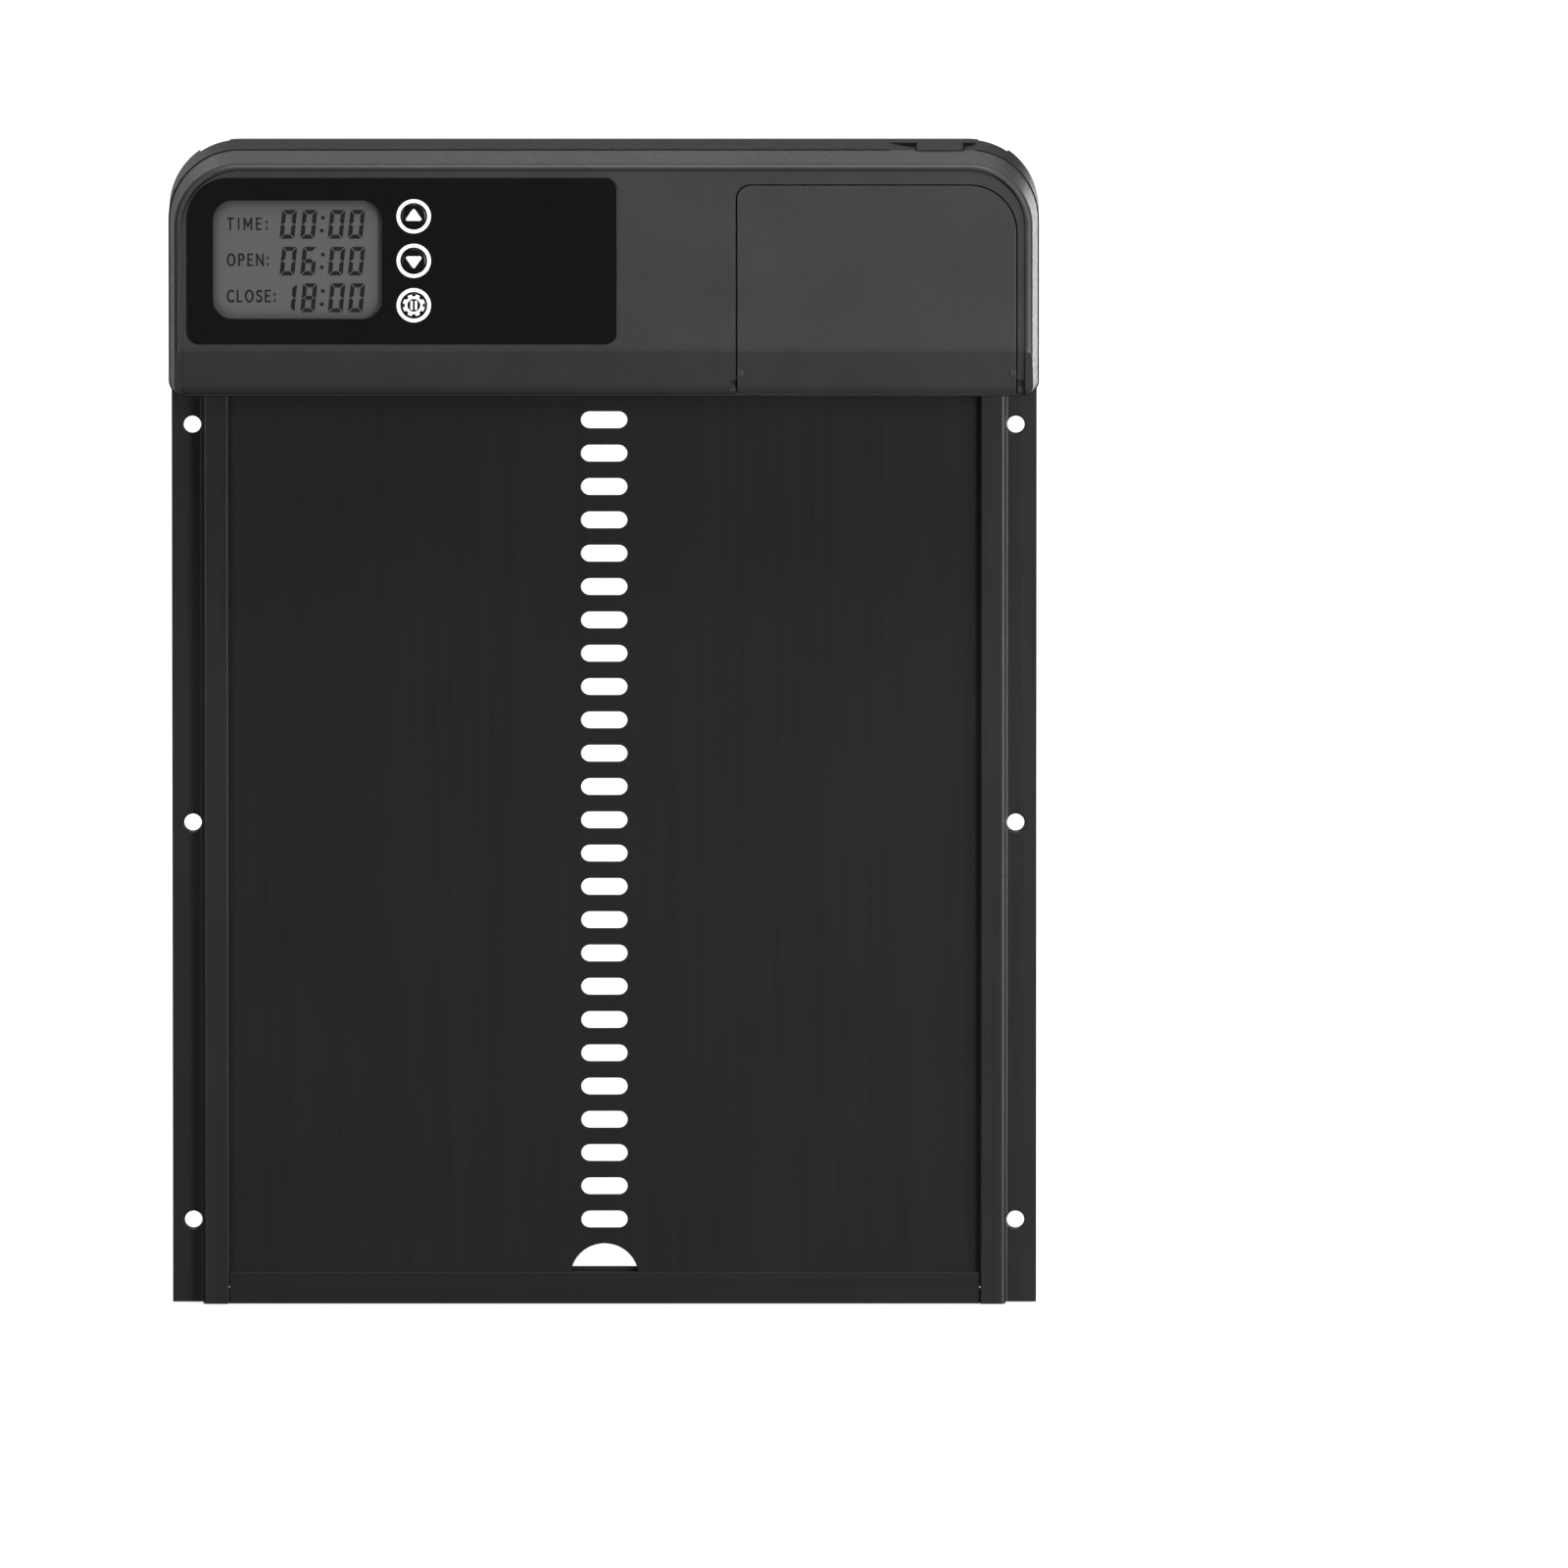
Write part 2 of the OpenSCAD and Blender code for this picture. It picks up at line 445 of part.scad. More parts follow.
module gearbox_screws() color([0.7, 0.7, 0.72]) place() {
  for (z = [270.2, 307]) { rod(15, z, 12.05, 13.5, 2.2); rod(15, z, 7, 12.05, 1); }
  for (z = [276.2, 300.9]) { xrod(23.65, 24.55, 21.5, z, 1.6); xrod(14, 23.66, 21.5, z, 0.8); }
}
module flat2d(r, h) intersection() { circle(r = r); square([h, 2 * r + 1], center = true); }
module motor_at(a, b) translate([a, -ax_d, ax_z]) rotate([90, 0, 90]) linear_extrude(b - a) children();
module motor_can() color([0.7, 0.71, 0.72]) place() {
  difference() {
    motor_at(24.65, 49) flat2d(10, 15.2);
    motor_at(25.4, 50) flat2d(9.3, 13.8);
    xrod(24, 26, ax_d, ax_z, 1.1);
  }
  ringx(22.9, 24.66, ax_z, 3, 1.08);
}
module motor_endcap() color([0.9, 0.9, 0.88]) place() {
  difference() {
    motor_at(47.4, 51) flat2d(9.2, 13.7);
    motor_at(47, 49.4) circle(r = 6);
    xrod(47, 50.2, ax_d, ax_z, 1.05);
  }
  for (s = [-1, 1]) bx(50.9, 54, ax_d - 0.25, ax_d + 0.25, ax_z + s * 6 - 1, ax_z + s * 6 + 1);
}
module motor_magnets() color([0.2, 0.2, 0.2]) place() motor_at(28, 46) for (s = [-1, 1]) intersection() {
  difference() { flat2d(9.25, 13.7); circle(r = 5.9); }
  translate([0, s * 7]) square([12, 6], center = true);
}
module motor_armature() color([0.6, 0.4, 0.25]) place() {
  xrod(19.5, 50, ax_d, ax_z, 1);
  motor_at(29, 45) difference() {
    circle(r = 5.4);
    for (k = [0:2]) rotate(120 * k + 60) { translate([4.6, 0]) square([3, 0.9], center = true); translate([3.2, 0]) circle(r = 0.9); }
  }
  xrod(44.9, 48.6, ax_d, ax_z, 2);
}
// round wire through a list of points
module wire(p, r) for (i = [0:len(p) - 2]) {
  v = p[i + 1] - p[i];
  translate(p[i]) {
    if (i > 0) sphere(r = r + 0.1);
    rotate([0, acos(v[2] / norm(v)), atan2(v[1], v[0])]) rotate(37) cylinder(r = r, h = norm(v));
  }
}
module motor_leads() color([0.75, 0.1, 0.08]) place() for (s = [-1, 1])
  wire([[54.1, -ax_d, ax_z + s * 6], [56.5, -ax_d, ax_z + s * 6], [56.5, -23.9, 303 + s * 1.6], [38, -23.9, 309 + s * 1.6],
    [24, -28, 304 + s * 1.6], [18, -28.5, 300 + s * 1.6], [18, -33.2, 300 + s * 1.6]], 0.55);
module battery_leads() color([0.1, 0.1, 0.1]) place() for (s = [-1, 1])
  wire([[43.4, -28.5, 285 + s * 1.6], [18, -28.5, 285 + s * 1.6], [18, -33.2, 285 + s * 1.6]], 0.55);
module power_leads() color([0.1, 0.1, 0.1]) place() for (s = [-1, 1])
  wire([[plug_x, -12.4, 313.8 + s], [plug_x, -10, 313.8 + s], [-20 + s, -10, 313.8 + s], [-20 + s, -26, 313.8 + s],
    [-20 + s, -26, 300], [-20 + s, -33.2, 300]], 0.55);

// ---------------------------------------------------------------- battery compartment
cells = [for (i = [0:3]) [bat_x + (i - 1.5) * cell_pitch, i % 2 == 0 ? 1 : -1]];
cell_c = 33.5;
module battery_tray() color([0.12, 0.12, 0.13]) place() difference() {
  union() {
    difference() {
      bx(42.4, 108, 25.05, 40.6, 261.6, 318.2);
      bx(43.8, 106.6, 26.2, 42, 262.9, 316.9);
    }
    for (i = [-1, 0, 1]) difference() {
      bx(bat_x + i * cell_pitch - 0.35, bat_x + i * cell_pitch + 0.35, 26.1, 33, 263.2, 316.6);
      bx(40, 110, 26.2, 28.6, 266, 272);
      bx(40, 110, 26.2, 28.6, 306, 312);
    }
  }
  for (p = tray_s) rod(p[0], p[1], 24, 27, 1.5);
  // leads leave through the left wall
  for (s = [-1, 1]) xrod(41, 45, 28.5, 285 + s * 1.6, 0.7);
}
module tray_screws() color([0.7, 0.7, 0.72]) place() for (p = tray_s) {
  rod(p[0], p[1], 26.22, 27.5, 2.3);
  rod(p[0], p[1], 15, 26.23, 1.2);
}
module cell() {
  // drawn with its positive end up, standing on z = 0
  rotate_extrude() polygon([[0, 0], [cell_d / 2 - 0.8, 0], [cell_d / 2, 0.8], [cell_d / 2, 48.4], [cell_d / 2 - 0.8, 49.2], [2.75, 49.2], [2.75, 50.2], [2.45, 50.5], [0, 50.5]]);
}
module aa_cells() color([0.2, 0.5, 0.3]) place() for (c = cells)
  if (c[1] > 0) translate([c[0], -cell_c, 266.2]) cell();
  else translate([c[0], -cell_c, 313.6]) rotate([180, 0, 0]) cell();
module spring() {
  for (i = [0:2]) translate([0, 0, 0.55 + i * 1.05]) rotate_extrude($fn = 36) translate([4.6 - i * 0.9, 0]) circle(r = 0.3, $fn = 16);
  for (i = [0:1]) translate([4.15 - i * 0.9, 0, 0.55 + i * 1.05]) cylinder(r = 0.5, h = 1.05, $fn = 16);
}
module battery_springs() color([0.75, 0.76, 0.78]) place() for (c = cells)
  if (c[1] > 0) translate([c[0], -cell_c, 263.1]) spring();
  else translate([c[0], -cell_c, 316.7]) rotate([180, 0, 0]) spring();
module battery_plates() color([0.75, 0.76, 0.78]) place() {
  // each plate spans a spring and the next cell's positive end
  bx(cells[0][0] - 5, cells[1][0] + 5, 28.5, 38.5, 262.92, 263.1);
  bx(cells[2][0] - 5, cells[3][0] + 5, 28.5, 38.5, 262.92, 263.1);
  bx(cells[0][0] - 5, cells[0][0] + 5, 28.5, 38.5, 316.72, 316.88);
  bx(cells[1][0] - 5, cells[2][0] + 5, 28.5, 38.5, 316.72, 316.88);
  bx(cells[3][0] - 5, cells[3][0] + 5, 28.5, 38.5, 316.72, 316.88);
}
module battery_cover() color([0.15, 0.15, 0.16]) place() {
  intersection() {
    bar(cov_x0, cov_x1) polygon([[-d_face, 318], [-d_face, crease_z], [-42, 259.3], [-39.2, 258.75], [-39.2, 260.7], [-41.0, 260.9], [-42.6, 271.9], [-42.6, 318]]);
    slab(38, 46) cover2d(0);
  }
  // side flanges with the tongues that run in the housing's guides
  for (s = [0, 1]) translate([s == 0 ? 0 : cov_x0 + cov_x1, 0, 0]) mirror([s, 0, 0]) {
    bx(cov_x0, cov_x0 + 1.6, 40.4, 42.6, 264, 303);
    bx(34.9, cov_x0 + 0.1, 40.4, 41.35, 264, 303);
  }
}

// ---------------------------------------------------------------- external power socket
module power_socket() color([0.09, 0.09, 0.09]) place() difference() {
  bx(87, 98.2, 12.5, 24.4, 309.5, 320.5);
  zrod(plug_x, plug_d, 312, 321, 3.0);
}
module socket_plug() color([0.07, 0.07, 0.07]) place() {
  bx(86.1, 99.1, 13.5, 28.2, 323.1, 325.2);
  zrod(plug_x, plug_d, 316.5, 323.11, 2.6);
}

left_rail();
right_rail();
sill();
sill_screws();
door_panel();
rear_housing();
front_housing();
housing_gasket();
clamp_screws();
housing_screws();
control_panel();
display_lens();
lcd_glass();
lcd_holder();
lcd_connector();
main_pcb();
pcb_components();
pcb_connectors();
pcb_screws();
tact_switches();
up_button();
down_button();
set_button();
up_plunger();
down_plunger();
set_plunger();
gearbox_case();
gearbox_cover();
gearbox_screws();
gear_axle();
first_gear();
second_gear();
third_gear();
output_gear();
output_shaft();
drive_sprocket();
shaft_bushings();
motor_can();
motor_endcap();
motor_magnets();
motor_armature();
motor_pinion();
motor_leads();
battery_tray();
tray_screws();
aa_cells();
battery_springs();
battery_plates();
battery_leads();
battery_cover();
power_socket();
socket_plug();
power_leads();
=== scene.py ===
import bpy
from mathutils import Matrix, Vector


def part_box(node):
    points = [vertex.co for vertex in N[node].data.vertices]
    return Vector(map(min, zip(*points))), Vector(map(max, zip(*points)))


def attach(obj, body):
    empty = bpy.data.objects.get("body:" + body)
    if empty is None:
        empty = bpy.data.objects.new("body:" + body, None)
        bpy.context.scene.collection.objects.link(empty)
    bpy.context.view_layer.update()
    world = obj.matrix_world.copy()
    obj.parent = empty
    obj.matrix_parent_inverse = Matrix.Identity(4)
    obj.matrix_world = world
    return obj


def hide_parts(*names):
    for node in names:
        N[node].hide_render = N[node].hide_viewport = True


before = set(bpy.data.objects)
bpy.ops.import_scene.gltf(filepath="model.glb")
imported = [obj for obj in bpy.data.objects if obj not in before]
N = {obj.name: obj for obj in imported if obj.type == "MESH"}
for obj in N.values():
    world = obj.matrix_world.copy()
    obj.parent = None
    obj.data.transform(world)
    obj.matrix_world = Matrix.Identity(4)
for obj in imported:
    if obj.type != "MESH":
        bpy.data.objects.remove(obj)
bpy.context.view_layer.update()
import bpy, bmesh, math
from mathutils import Vector, Matrix

MM = 0.001
B = {n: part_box(n) for n in N}
Z0 = B["left_rail"][0].z                       # bottom of the frame
COL = bpy.context.scene.collection


def W(x, d, z):
    """millimetres: x, depth in front of the wall, height above the frame's bottom -> row frame, metres"""
    return Vector((x * MM, -d * MM, z * MM + Z0))


def mmbox(n):
    a, b = B[n]
    return (a.x / MM, b.x / MM, -b.y / MM, -a.y / MM, (a.z - Z0) / MM, (b.z - Z0) / MM)


# ------------------------------------------------------------------ outlines and solids
def arc(cx, cy, r, a0, a1, n):
    return [(cx + r * math.cos(math.radians(a0 + (a1 - a0) * i / n)),
             cy + r * math.sin(math.radians(a0 + (a1 - a0) * i / n))) for i in range(n + 1)]


def rr(x0, y0, x1, y1, a, b, c, d, n=None):
    """rounded rectangle: radii lower left, lower right, upper right, upper left"""
    k = lambda r: n or max(3, min(28, int(4 + r * 1.2)))
    return (arc(x0 + a, y0 + a, a, 180, 270, k(a)) + arc(x1 - b, y0 + b, b, 270, 360, k(b)) +
            arc(x1 - c, y1 - c, c, 0, 90, k(c)) + arc(x0 + d, y1 - d, d, 90, 180, k(d)))


def dedupe(p):
    out = []
    for q in p:
        if not out or math.dist(out[-1], q) > 1e-4:
            out.append(q)
    if math.dist(out[0], out[-1]) < 1e-4:
        out.pop()
    return out


def to_mesh(bm, name):
    bmesh.ops.recalc_face_normals(bm, faces=bm.faces)
    me = bpy.data.meshes.new(name)
    bm.to_mesh(me)
    bm.free()
    o = bpy.data.objects.new(name, me)
    COL.objects.link(o)
    return o


def prism(name, pts, a, b, plane="xz"):
    """2-D outline in mm made solid between a and b. xz: depth a..b; yz: points are (depth, z), x from a to b; xy: points are (x, depth), z from a to b"""
    pts = dedupe(pts)
    f = {"xz": lambda p, t: W(p[0], t, p[1]), "yz": lambda p, t: W(t, p[0], p[1]), "xy": lambda p, t: W(p[0], p[1], t)}[plane]
    bm = bmesh.new()
    lo = [bm.verts.new(f(p, a)) for p in pts]
    hi = [bm.verts.new(f(p, b)) for p in pts]
    bm.faces.new(lo)
    bm.faces.new(hi)
    for i in range(len(pts)):
        j = (i + 1) % len(pts)
        bm.faces.new((lo[i], lo[j], hi[j], hi[i]))
    return to_mesh(bm, name)


def box(name, x0, x1, d0, d1, z0, z1):
    return prism(name, [(x0, z0), (x1, z0), (x1, z1), (x0, z1)], d0, d1)


def disc(name, x, z, r, d0, d1, n=48):
    return prism(name, arc(x, z, r, 0, 360, n)[:-1], d0, d1)


def lathe(name, prof, centre, axis, n=56):
    """revolved closed solid: prof is [(radius, along axis)] in mm; first and last radius 0"""
    bm = bmesh.new()
    ax = Vector(axis).normalized()
    u = ax.orthogonal().normalized()
    v = ax.cross(u)
    rows = []
    for r, t in prof:
        if r < 1e-6:
            rows.append([bm.verts.new(centre + ax * t * MM)])
        else:
            rows.append([bm.verts.new(centre + ax * t * MM + (u * math.cos(2 * math.pi * i / n) + v * math.sin(2 * math.pi * i / n)) * r * MM) for i in range(n)])
    for a, b in zip(rows, rows[1:]):
        for i in range(n):
            j = (i + 1) % n
            if len(a) == 1 and len(b) > 1:
                bm.faces.new((a[0], b[i], b[j]))
            elif len(b) == 1 and len(a) > 1:
                bm.faces.new((a[i], a[j], b[0]))
            elif len(a) > 1:
                bm.faces.new((a[i], a[j], b[j], b[i]))
    return to_mesh(bm, name)


def bake(o):
    dg = bpy.context.evaluated_depsgraph_get()
    me = bpy.data.meshes.new_from_object(o.evaluated_get(dg))
    old = o.data
    o.modifiers.clear()
    o.data = me
    bpy.data.meshes.remove(old)
    return o


def cut(o, tools, op="DIFFERENCE"):
    for t in tools:
        m = o.modifiers.new("b", "BOOLEAN")
        m.operation, m.solver, m.object = op, "EXACT", t
        m.use_self = False
        bake(o)
        me = t.data
        bpy.data.objects.remove(t)
        bpy.data.meshes.remove(me)
    return o


def merge(name, objs):
    bm = bmesh.new()
    for o in objs:
        bm.from_mesh(o.data)
        me = o.data
        bpy.data.objects.remove(o)
        bpy.data.meshes.remove(me)
    me = bpy.data.meshes.new(name)
    bm.to_mesh(me)
    bm.free()
    o = bpy.data.objects.new(name, me)
    COL.objects.link(o)
    return o


def tidy(o):
    bm = bmesh.new()
    bm.from_mesh(o.data)
    bmesh.ops.remove_doubles(bm, verts=bm.verts, dist=2e-6)
    bmesh.ops.dissolve_degenerate(bm, dist=1e-6, edges=bm.edges)
    bmesh.ops.dissolve_limit(bm, angle_limit=math.radians(0.4), verts=bm.verts, edges=bm.edges)
    bm.to_mesh(o.data)
    bm.free()
    return o


def edge_round(o, want, width, segs):
    """rounds the edges for which want(edge) is true"""
    bm = bmesh.new()
    bm.from_mesh(o.data)
    bm.normal_update()
    es = [e for e in bm.edges if len(e.link_faces) == 2 and want(e)]
    bmesh.ops.bevel(bm, geom=es, offset=width * MM, segments=segs, profile=0.5, affect="EDGES", clamp_overlap=True)
    bm.to_mesh(o.data)
    bm.free()
    return o


def smooth(o, width=0.25, segs=2, angle=30):
    if width:
        m = o.modifiers.new("edge", "BEVEL")
        m.width, m.segments, m.limit_method, m.angle_limit = width * MM, segs, "ANGLE", math.radians(angle)
        m.use_clamp_overlap = True
        m.harden_normals = True
    for p in o.data.polygons:
        p.use_smooth = True
    if hasattr(o.data, "set_sharp_from_angle"):
        o.data.set_sharp_from_angle(angle=math.radians(32))
    w = o.modifiers.new("wn", "WEIGHTED_NORMAL")
    w.keep_sharp, w.weight = True, 80
    return o


def piece(o, name, body, mat, node=None):
    o.name = name
    o.data.materials.clear()
    o.data.materials.append(mat)
    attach(o, body)
    if node:
        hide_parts(*([node] if isinstance(node, str) else node))
    return o


# ------------------------------------------------------------------ materials
def lin(c):
    return tuple((x / 12.92 if x <= 0.04045 else ((x + 0.055) / 1.055) ** 2.4) for x in c)


def grey(v):
    return lin((v / 255,) * 3) + (1,)


class Mat:
    def __init__(s, name):
        s.m = bpy.data.materials.new(name)
        s.m.use_nodes = True
        s.t = s.m.node_tree
        s.b = s.t.nodes["Principled BSDF"]
        s.tc = s.n("ShaderNodeTexCoord")

    def n(s, kind, **kw):
        x = s.t.nodes.new(kind)
        for k, v in kw.items():
            if k in x.inputs:
                x.inputs[k].default_value = v
            else:
                setattr(x, k, v)
        return x

    def l(s, a, b):
        s.t.links.new(a, b)

    def noise(s, scale, detail=4, rough=0.6, stretch=None):
        x = s.n("ShaderNodeTexNoise", Scale=scale, Detail=detail, Roughness=rough)
        mp = s.n("ShaderNodeMapping")
        if stretch:
            mp.inputs["Scale"].default_value = stretch
        s.l(s.tc.outputs["Object"], mp.inputs["Vector"])
        s.l(mp.outputs[0], x.inputs["Vector"])
        return x.outputs[0]

    def ramp(s, fac, stops):
        r = s.n("ShaderNodeValToRGB")
        e = r.color_ramp.elements
        while len(e) < len(stops):
            e.new(0.5)
        for i, (p, c) in enumerate(stops):
            e[i].position, e[i].color = p, c
        s.l(fac, r.inputs[0])
        return r.outputs[0]

    def rng(s, fac, a, b, lo=0.3, hi=0.7):
        r = s.n("ShaderNodeMapRange")
        r.inputs["From Min"].default_value, r.inputs["From Max"].default_value = lo, hi
        r.inputs["To Min"].default_value, r.inputs["To Max"].default_value = a, b
        s.l(fac, r.inputs["Value"])
        return r.outputs[0]

    def bump(s, layers):
        prev = None
        for fac, strength, dist in layers:
            b = s.n("ShaderNodeBump", Strength=strength, Distance=dist)
            s.l(fac, b.inputs["Height"])
            if prev:
                s.l(prev, b.inputs["Normal"])
            prev = b.outputs[0]
        s.l(prev, s.b.inputs["Normal"])

    def colour(s, out):
        s.l(out, s.b.inputs["Base Color"])

    def rough(s, out):
        s.l(out, s.b.inputs["Roughness"])


def scaled(c, k):
    return tuple(min(1, x * k) for x in c[:3]) + (1,)


def moulded(name, c, rough=0.45, grain=0.35, spec=0.5, sheen=0.0):
    """moulded plastic: fine spark-eroded grain, slight flow mottling and handling marks"""
    m = Mat(name)
    mott = m.noise(38, 3, 0.55)
    fine = m.noise(2600, 2, 0.5)
    mid = m.noise(650, 3, 0.6)
    m.colour(m.ramp(mott, [(0.3, scaled(c, 0.9)), (0.7, scaled(c, 1.1))]))
    m.rough(m.rng(mid, rough - 0.05, rough + 0.07))
    m.bump([(fine, grain, 0.00003), (mid, grain * 0.4, 0.00006)])
    m.b.inputs["Specular IOR Level"].default_value = spec
    if sheen:
        m.b.inputs["Coat Weight"].default_value = sheen
        m.b.inputs["Coat Roughness"].default_value = 0.12
    return m.m


def anodised(name, c, rough=0.42, along="z", metal=0.55, spec=0.5):
    """black anodised aluminium: drawn lines along the extrusion, faint cloudiness"""
    m = Mat(name)
    st = (1, 1, 0.015) if along == "z" else (0.015, 1, 1)
    lines = m.noise(3800, 2, 0.5, st)
    broad = m.noise(420, 2, 0.5, st)
    cloud = m.noise(22, 3, 0.5)
    pits = m.noise(5200, 1, 0.5)
    m.colour(m.ramp(cloud, [(0.3, scaled(c, 0.92)), (0.7, scaled(c, 1.08))]))
    r1 = m.n("ShaderNodeMath", operation="MULTIPLY_ADD")
    m.l(lines, r1.inputs[0])
    r1.inputs[1].default_value = 0.16
    m.l(m.rng(broad, rough - 0.1, rough - 0.02), r1.inputs[2])
    m.rough(r1.outputs[0])
    m.bump([(lines, 0.10, 0.00002), (pits, 0.12, 0.00001)])
    m.b.inputs["Metallic"].default_value = metal
    m.b.inputs["Specular IOR Level"].default_value = spec
    return m.m


def metal(name, c, rough=0.3, stretch=(1, 1, 1)):
    m = Mat(name)
    a = m.noise(1500, 3, 0.6, stretch)
    k = m.noise(120, 4, 0.6)
    m.colour(m.ramp(k, [(0.3, scaled(c, 0.85)), (0.7, scaled(c, 1.08))]))
    m.rough(m.rng(a, rough - 0.08, rough + 0.14))
    m.bump([(a, 0.12, 0.00003)])
    m.b.inputs["Metallic"].default_value = 1.0
    return m.m


def rubbery(name, c, rough=0.7):
    m = Mat(name)
    f = m.noise(1800, 3, 0.6)
    k = m.noise(90, 3, 0.5)
    m.colour(m.ramp(k, [(0.3, scaled(c, 0.85)), (0.7, scaled(c, 1.15))]))
    m.rough(m.rng(f, rough - 0.08, rough + 0.1))
    m.bump([(f, 0.25, 0.00004)])
    return m.m


def printed(name, c, rough=0.35):
    """screen printed ink"""
    m = Mat(name)
    k = m.noise(900, 3, 0.6)
    m.colour(m.ramp(k, [(0.25, scaled(c, 0.93)), (0.75, scaled(c, 1.0))]))
    m.rough(m.rng(k, rough - 0.05, rough + 0.08))
    m.bump([(k, 0.08, 0.00001)])
    return m.m


HEAD = moulded("head_plastic", lin((0.225, 0.225, 0.228)), 0.45, 0.30, 0.4)
COVER = moulded("cover_plastic", lin((0.230, 0.230, 0.233)), 0.45, 0.30, 0.4)
REAR = moulded("rear_plastic", lin((0.125, 0.125, 0.128)), 0.42, 0.32, 0.12)
INNER = moulded("inner_plastic", lin((0.14, 0.14, 0.145)), 0.55, 0.3)
PANEL = moulded("panel_gloss", lin((0.055, 0.055, 0.058)), 0.16, 0.02, 0.4, 0.3)
BUTTON = moulded("button_gloss", lin((0.05, 0.05, 0.052)), 0.22, 0.03, 0.4, 0.2)
RAIL = anodised("rail_anodised", lin((0.20, 0.20, 0.205)), 0.44)
STRIP = RAIL
SILL = anodised("sill_anodised", lin((0.165, 0.165, 0.169)), 0.46, "x")
DOOR = anodised("door_anodised", lin((0.135, 0.135, 0.138)), 0.50, "z", 0.35, 0.35)
WHITE = printed("white_print_painted_glow", (0.86, 0.86, 0.86))
# painted glow: the white print emits light of its own, so it stays bright whatever the lamps do
WHITE.node_tree.nodes["Principled BSDF"].inputs["Emission Color"].default_value = (1, 1, 1, 1)
WHITE.node_tree.nodes["Principled BSDF"].inputs["Emission Strength"].default_value = 0.45
INK = printed("lcd_ink", (0.006, 0.007, 0.008), 0.5)
STEEL = metal("zinc_steel", (0.55, 0.56, 0.58), 0.32)
NICKEL = metal("nickel", (0.62, 0.60, 0.56), 0.22)
BRASS = metal("brass", (0.65, 0.45, 0.18), 0.3)
COPPER = metal("copper_winding", (0.55, 0.22, 0.10), 0.35, (8, 1, 1))
RUBBER = rubbery("black_rubber", lin((0.13, 0.13, 0.132)))
NYLON = moulded("natural_acetal", (0.78, 0.77, 0.70), 0.4, 0.15)
CREAM = moulded("cream_plastic", (0.72, 0.70, 0.62), 0.45, 0.2)
WIRE_R = moulded("red_insulation", (0.45, 0.02, 0.015), 0.4, 0.1)
WIRE_K = moulded("black_insulation", (0.02, 0.02, 0.02), 0.4, 0.1)
CHIP = moulded("epoxy_package", (0.02, 0.02, 0.021), 0.6, 0.4)
FERRITE = rubbery("ferrite", (0.05, 0.05, 0.055), 0.6)


def pcb_mat():
    m = Mat("pcb_green")
    v = m.n("ShaderNodeTexVoronoi", Scale=900.0)
    m.l(m.tc.outputs["Object"], v.inputs["Vector"])
    k = m.noise(160, 4, 0.6)
    m.colour(m.ramp(k, [(0.42, (0.005, 0.07, 0.03, 1)), (0.5, (0.012, 0.13, 0.055, 1)), (0.58, (0.006, 0.085, 0.035, 1))]))
    m.rough(m.rng(k, 0.25, 0.4))
    m.bump([(v.outputs[0], 0.1, 0.00002), (k, 0.15, 0.00003)])
    return m.m


def lcd_mat():
    """reflective LCD: pale grey, with painted shade darkening it towards the bezel's edge, and a faint pixel weave"""
    m = Mat("lcd_grey")
    lo, hi = B["display_lens"]
    cx, cz, hx, hz = (lo.x + hi.x) / 2, (lo.z + hi.z) / 2, (hi.x - lo.x) / 2, (hi.z - lo.z) / 2
    sep = m.n("ShaderNodeSeparateXYZ")
    m.l(m.tc.outputs["Object"], sep.inputs[0])

    # mask rising towards the bezel's edge, which drives the painted shade
    def edge(out, c, h):
        a = m.n("ShaderNodeMath", operation="SUBTRACT")
        m.l(out, a.inputs[0]); a.inputs[1].default_value = c
        b = m.n("ShaderNodeMath", operation="ABSOLUTE")
        m.l(a.outputs[0], b.inputs[0])
        d = m.n("ShaderNodeMapRange")
        d.inputs["From Min"].default_value, d.inputs["From Max"].default_value = h - 0.0065, h - 0.0002
        d.inputs["To Min"].default_value, d.inputs["To Max"].default_value = 0, 1
        m.l(b.outputs[0], d.inputs["Value"])
        p = m.n("ShaderNodeMath", operation="POWER")
        m.l(d.outputs[0], p.inputs[0]); p.inputs[1].default_value = 1.8
        return p.outputs[0]
    s = m.n("ShaderNodeMath", operation="ADD")
    m.l(edge(sep.outputs[0], cx, hx), s.inputs[0])
    m.l(edge(sep.outputs[2], cz, hz), s.inputs[1])
    # painted shade: the grey darkens towards the bezel's edge, where the recess shades it
    r = m.ramp(s.outputs[0], [(0.0, (0.20, 0.20, 0.197, 1)), (0.55, (0.185, 0.185, 0.183, 1)), (1.0, (0.13, 0.13, 0.128, 1))])
    m.colour(r)
    k = m.noise(3000, 1, 0.5)
    m.rough(m.rng(k, 0.4, 0.5))
    m.bump([(k, 0.05, 0.00001)])
    m.b.inputs["Specular IOR Level"].default_value = 0.2
    return m.m


def lens_mat():
    m = Mat("clear_lens")
    k = m.noise(700, 2, 0.5)
    m.rough(m.rng(k, 0.03, 0.08))
    m.colour(m.ramp(k, [(0.3, (0.010, 0.011, 0.012, 1)), (0.7, (0.014, 0.015, 0.016, 1))]))
    m.b.inputs["Alpha"].default_value = 0.12
    m.b.inputs["Specular IOR Level"].default_value = 0.5
    m.b.inputs["IOR"].default_value = 1.45
    return m.m


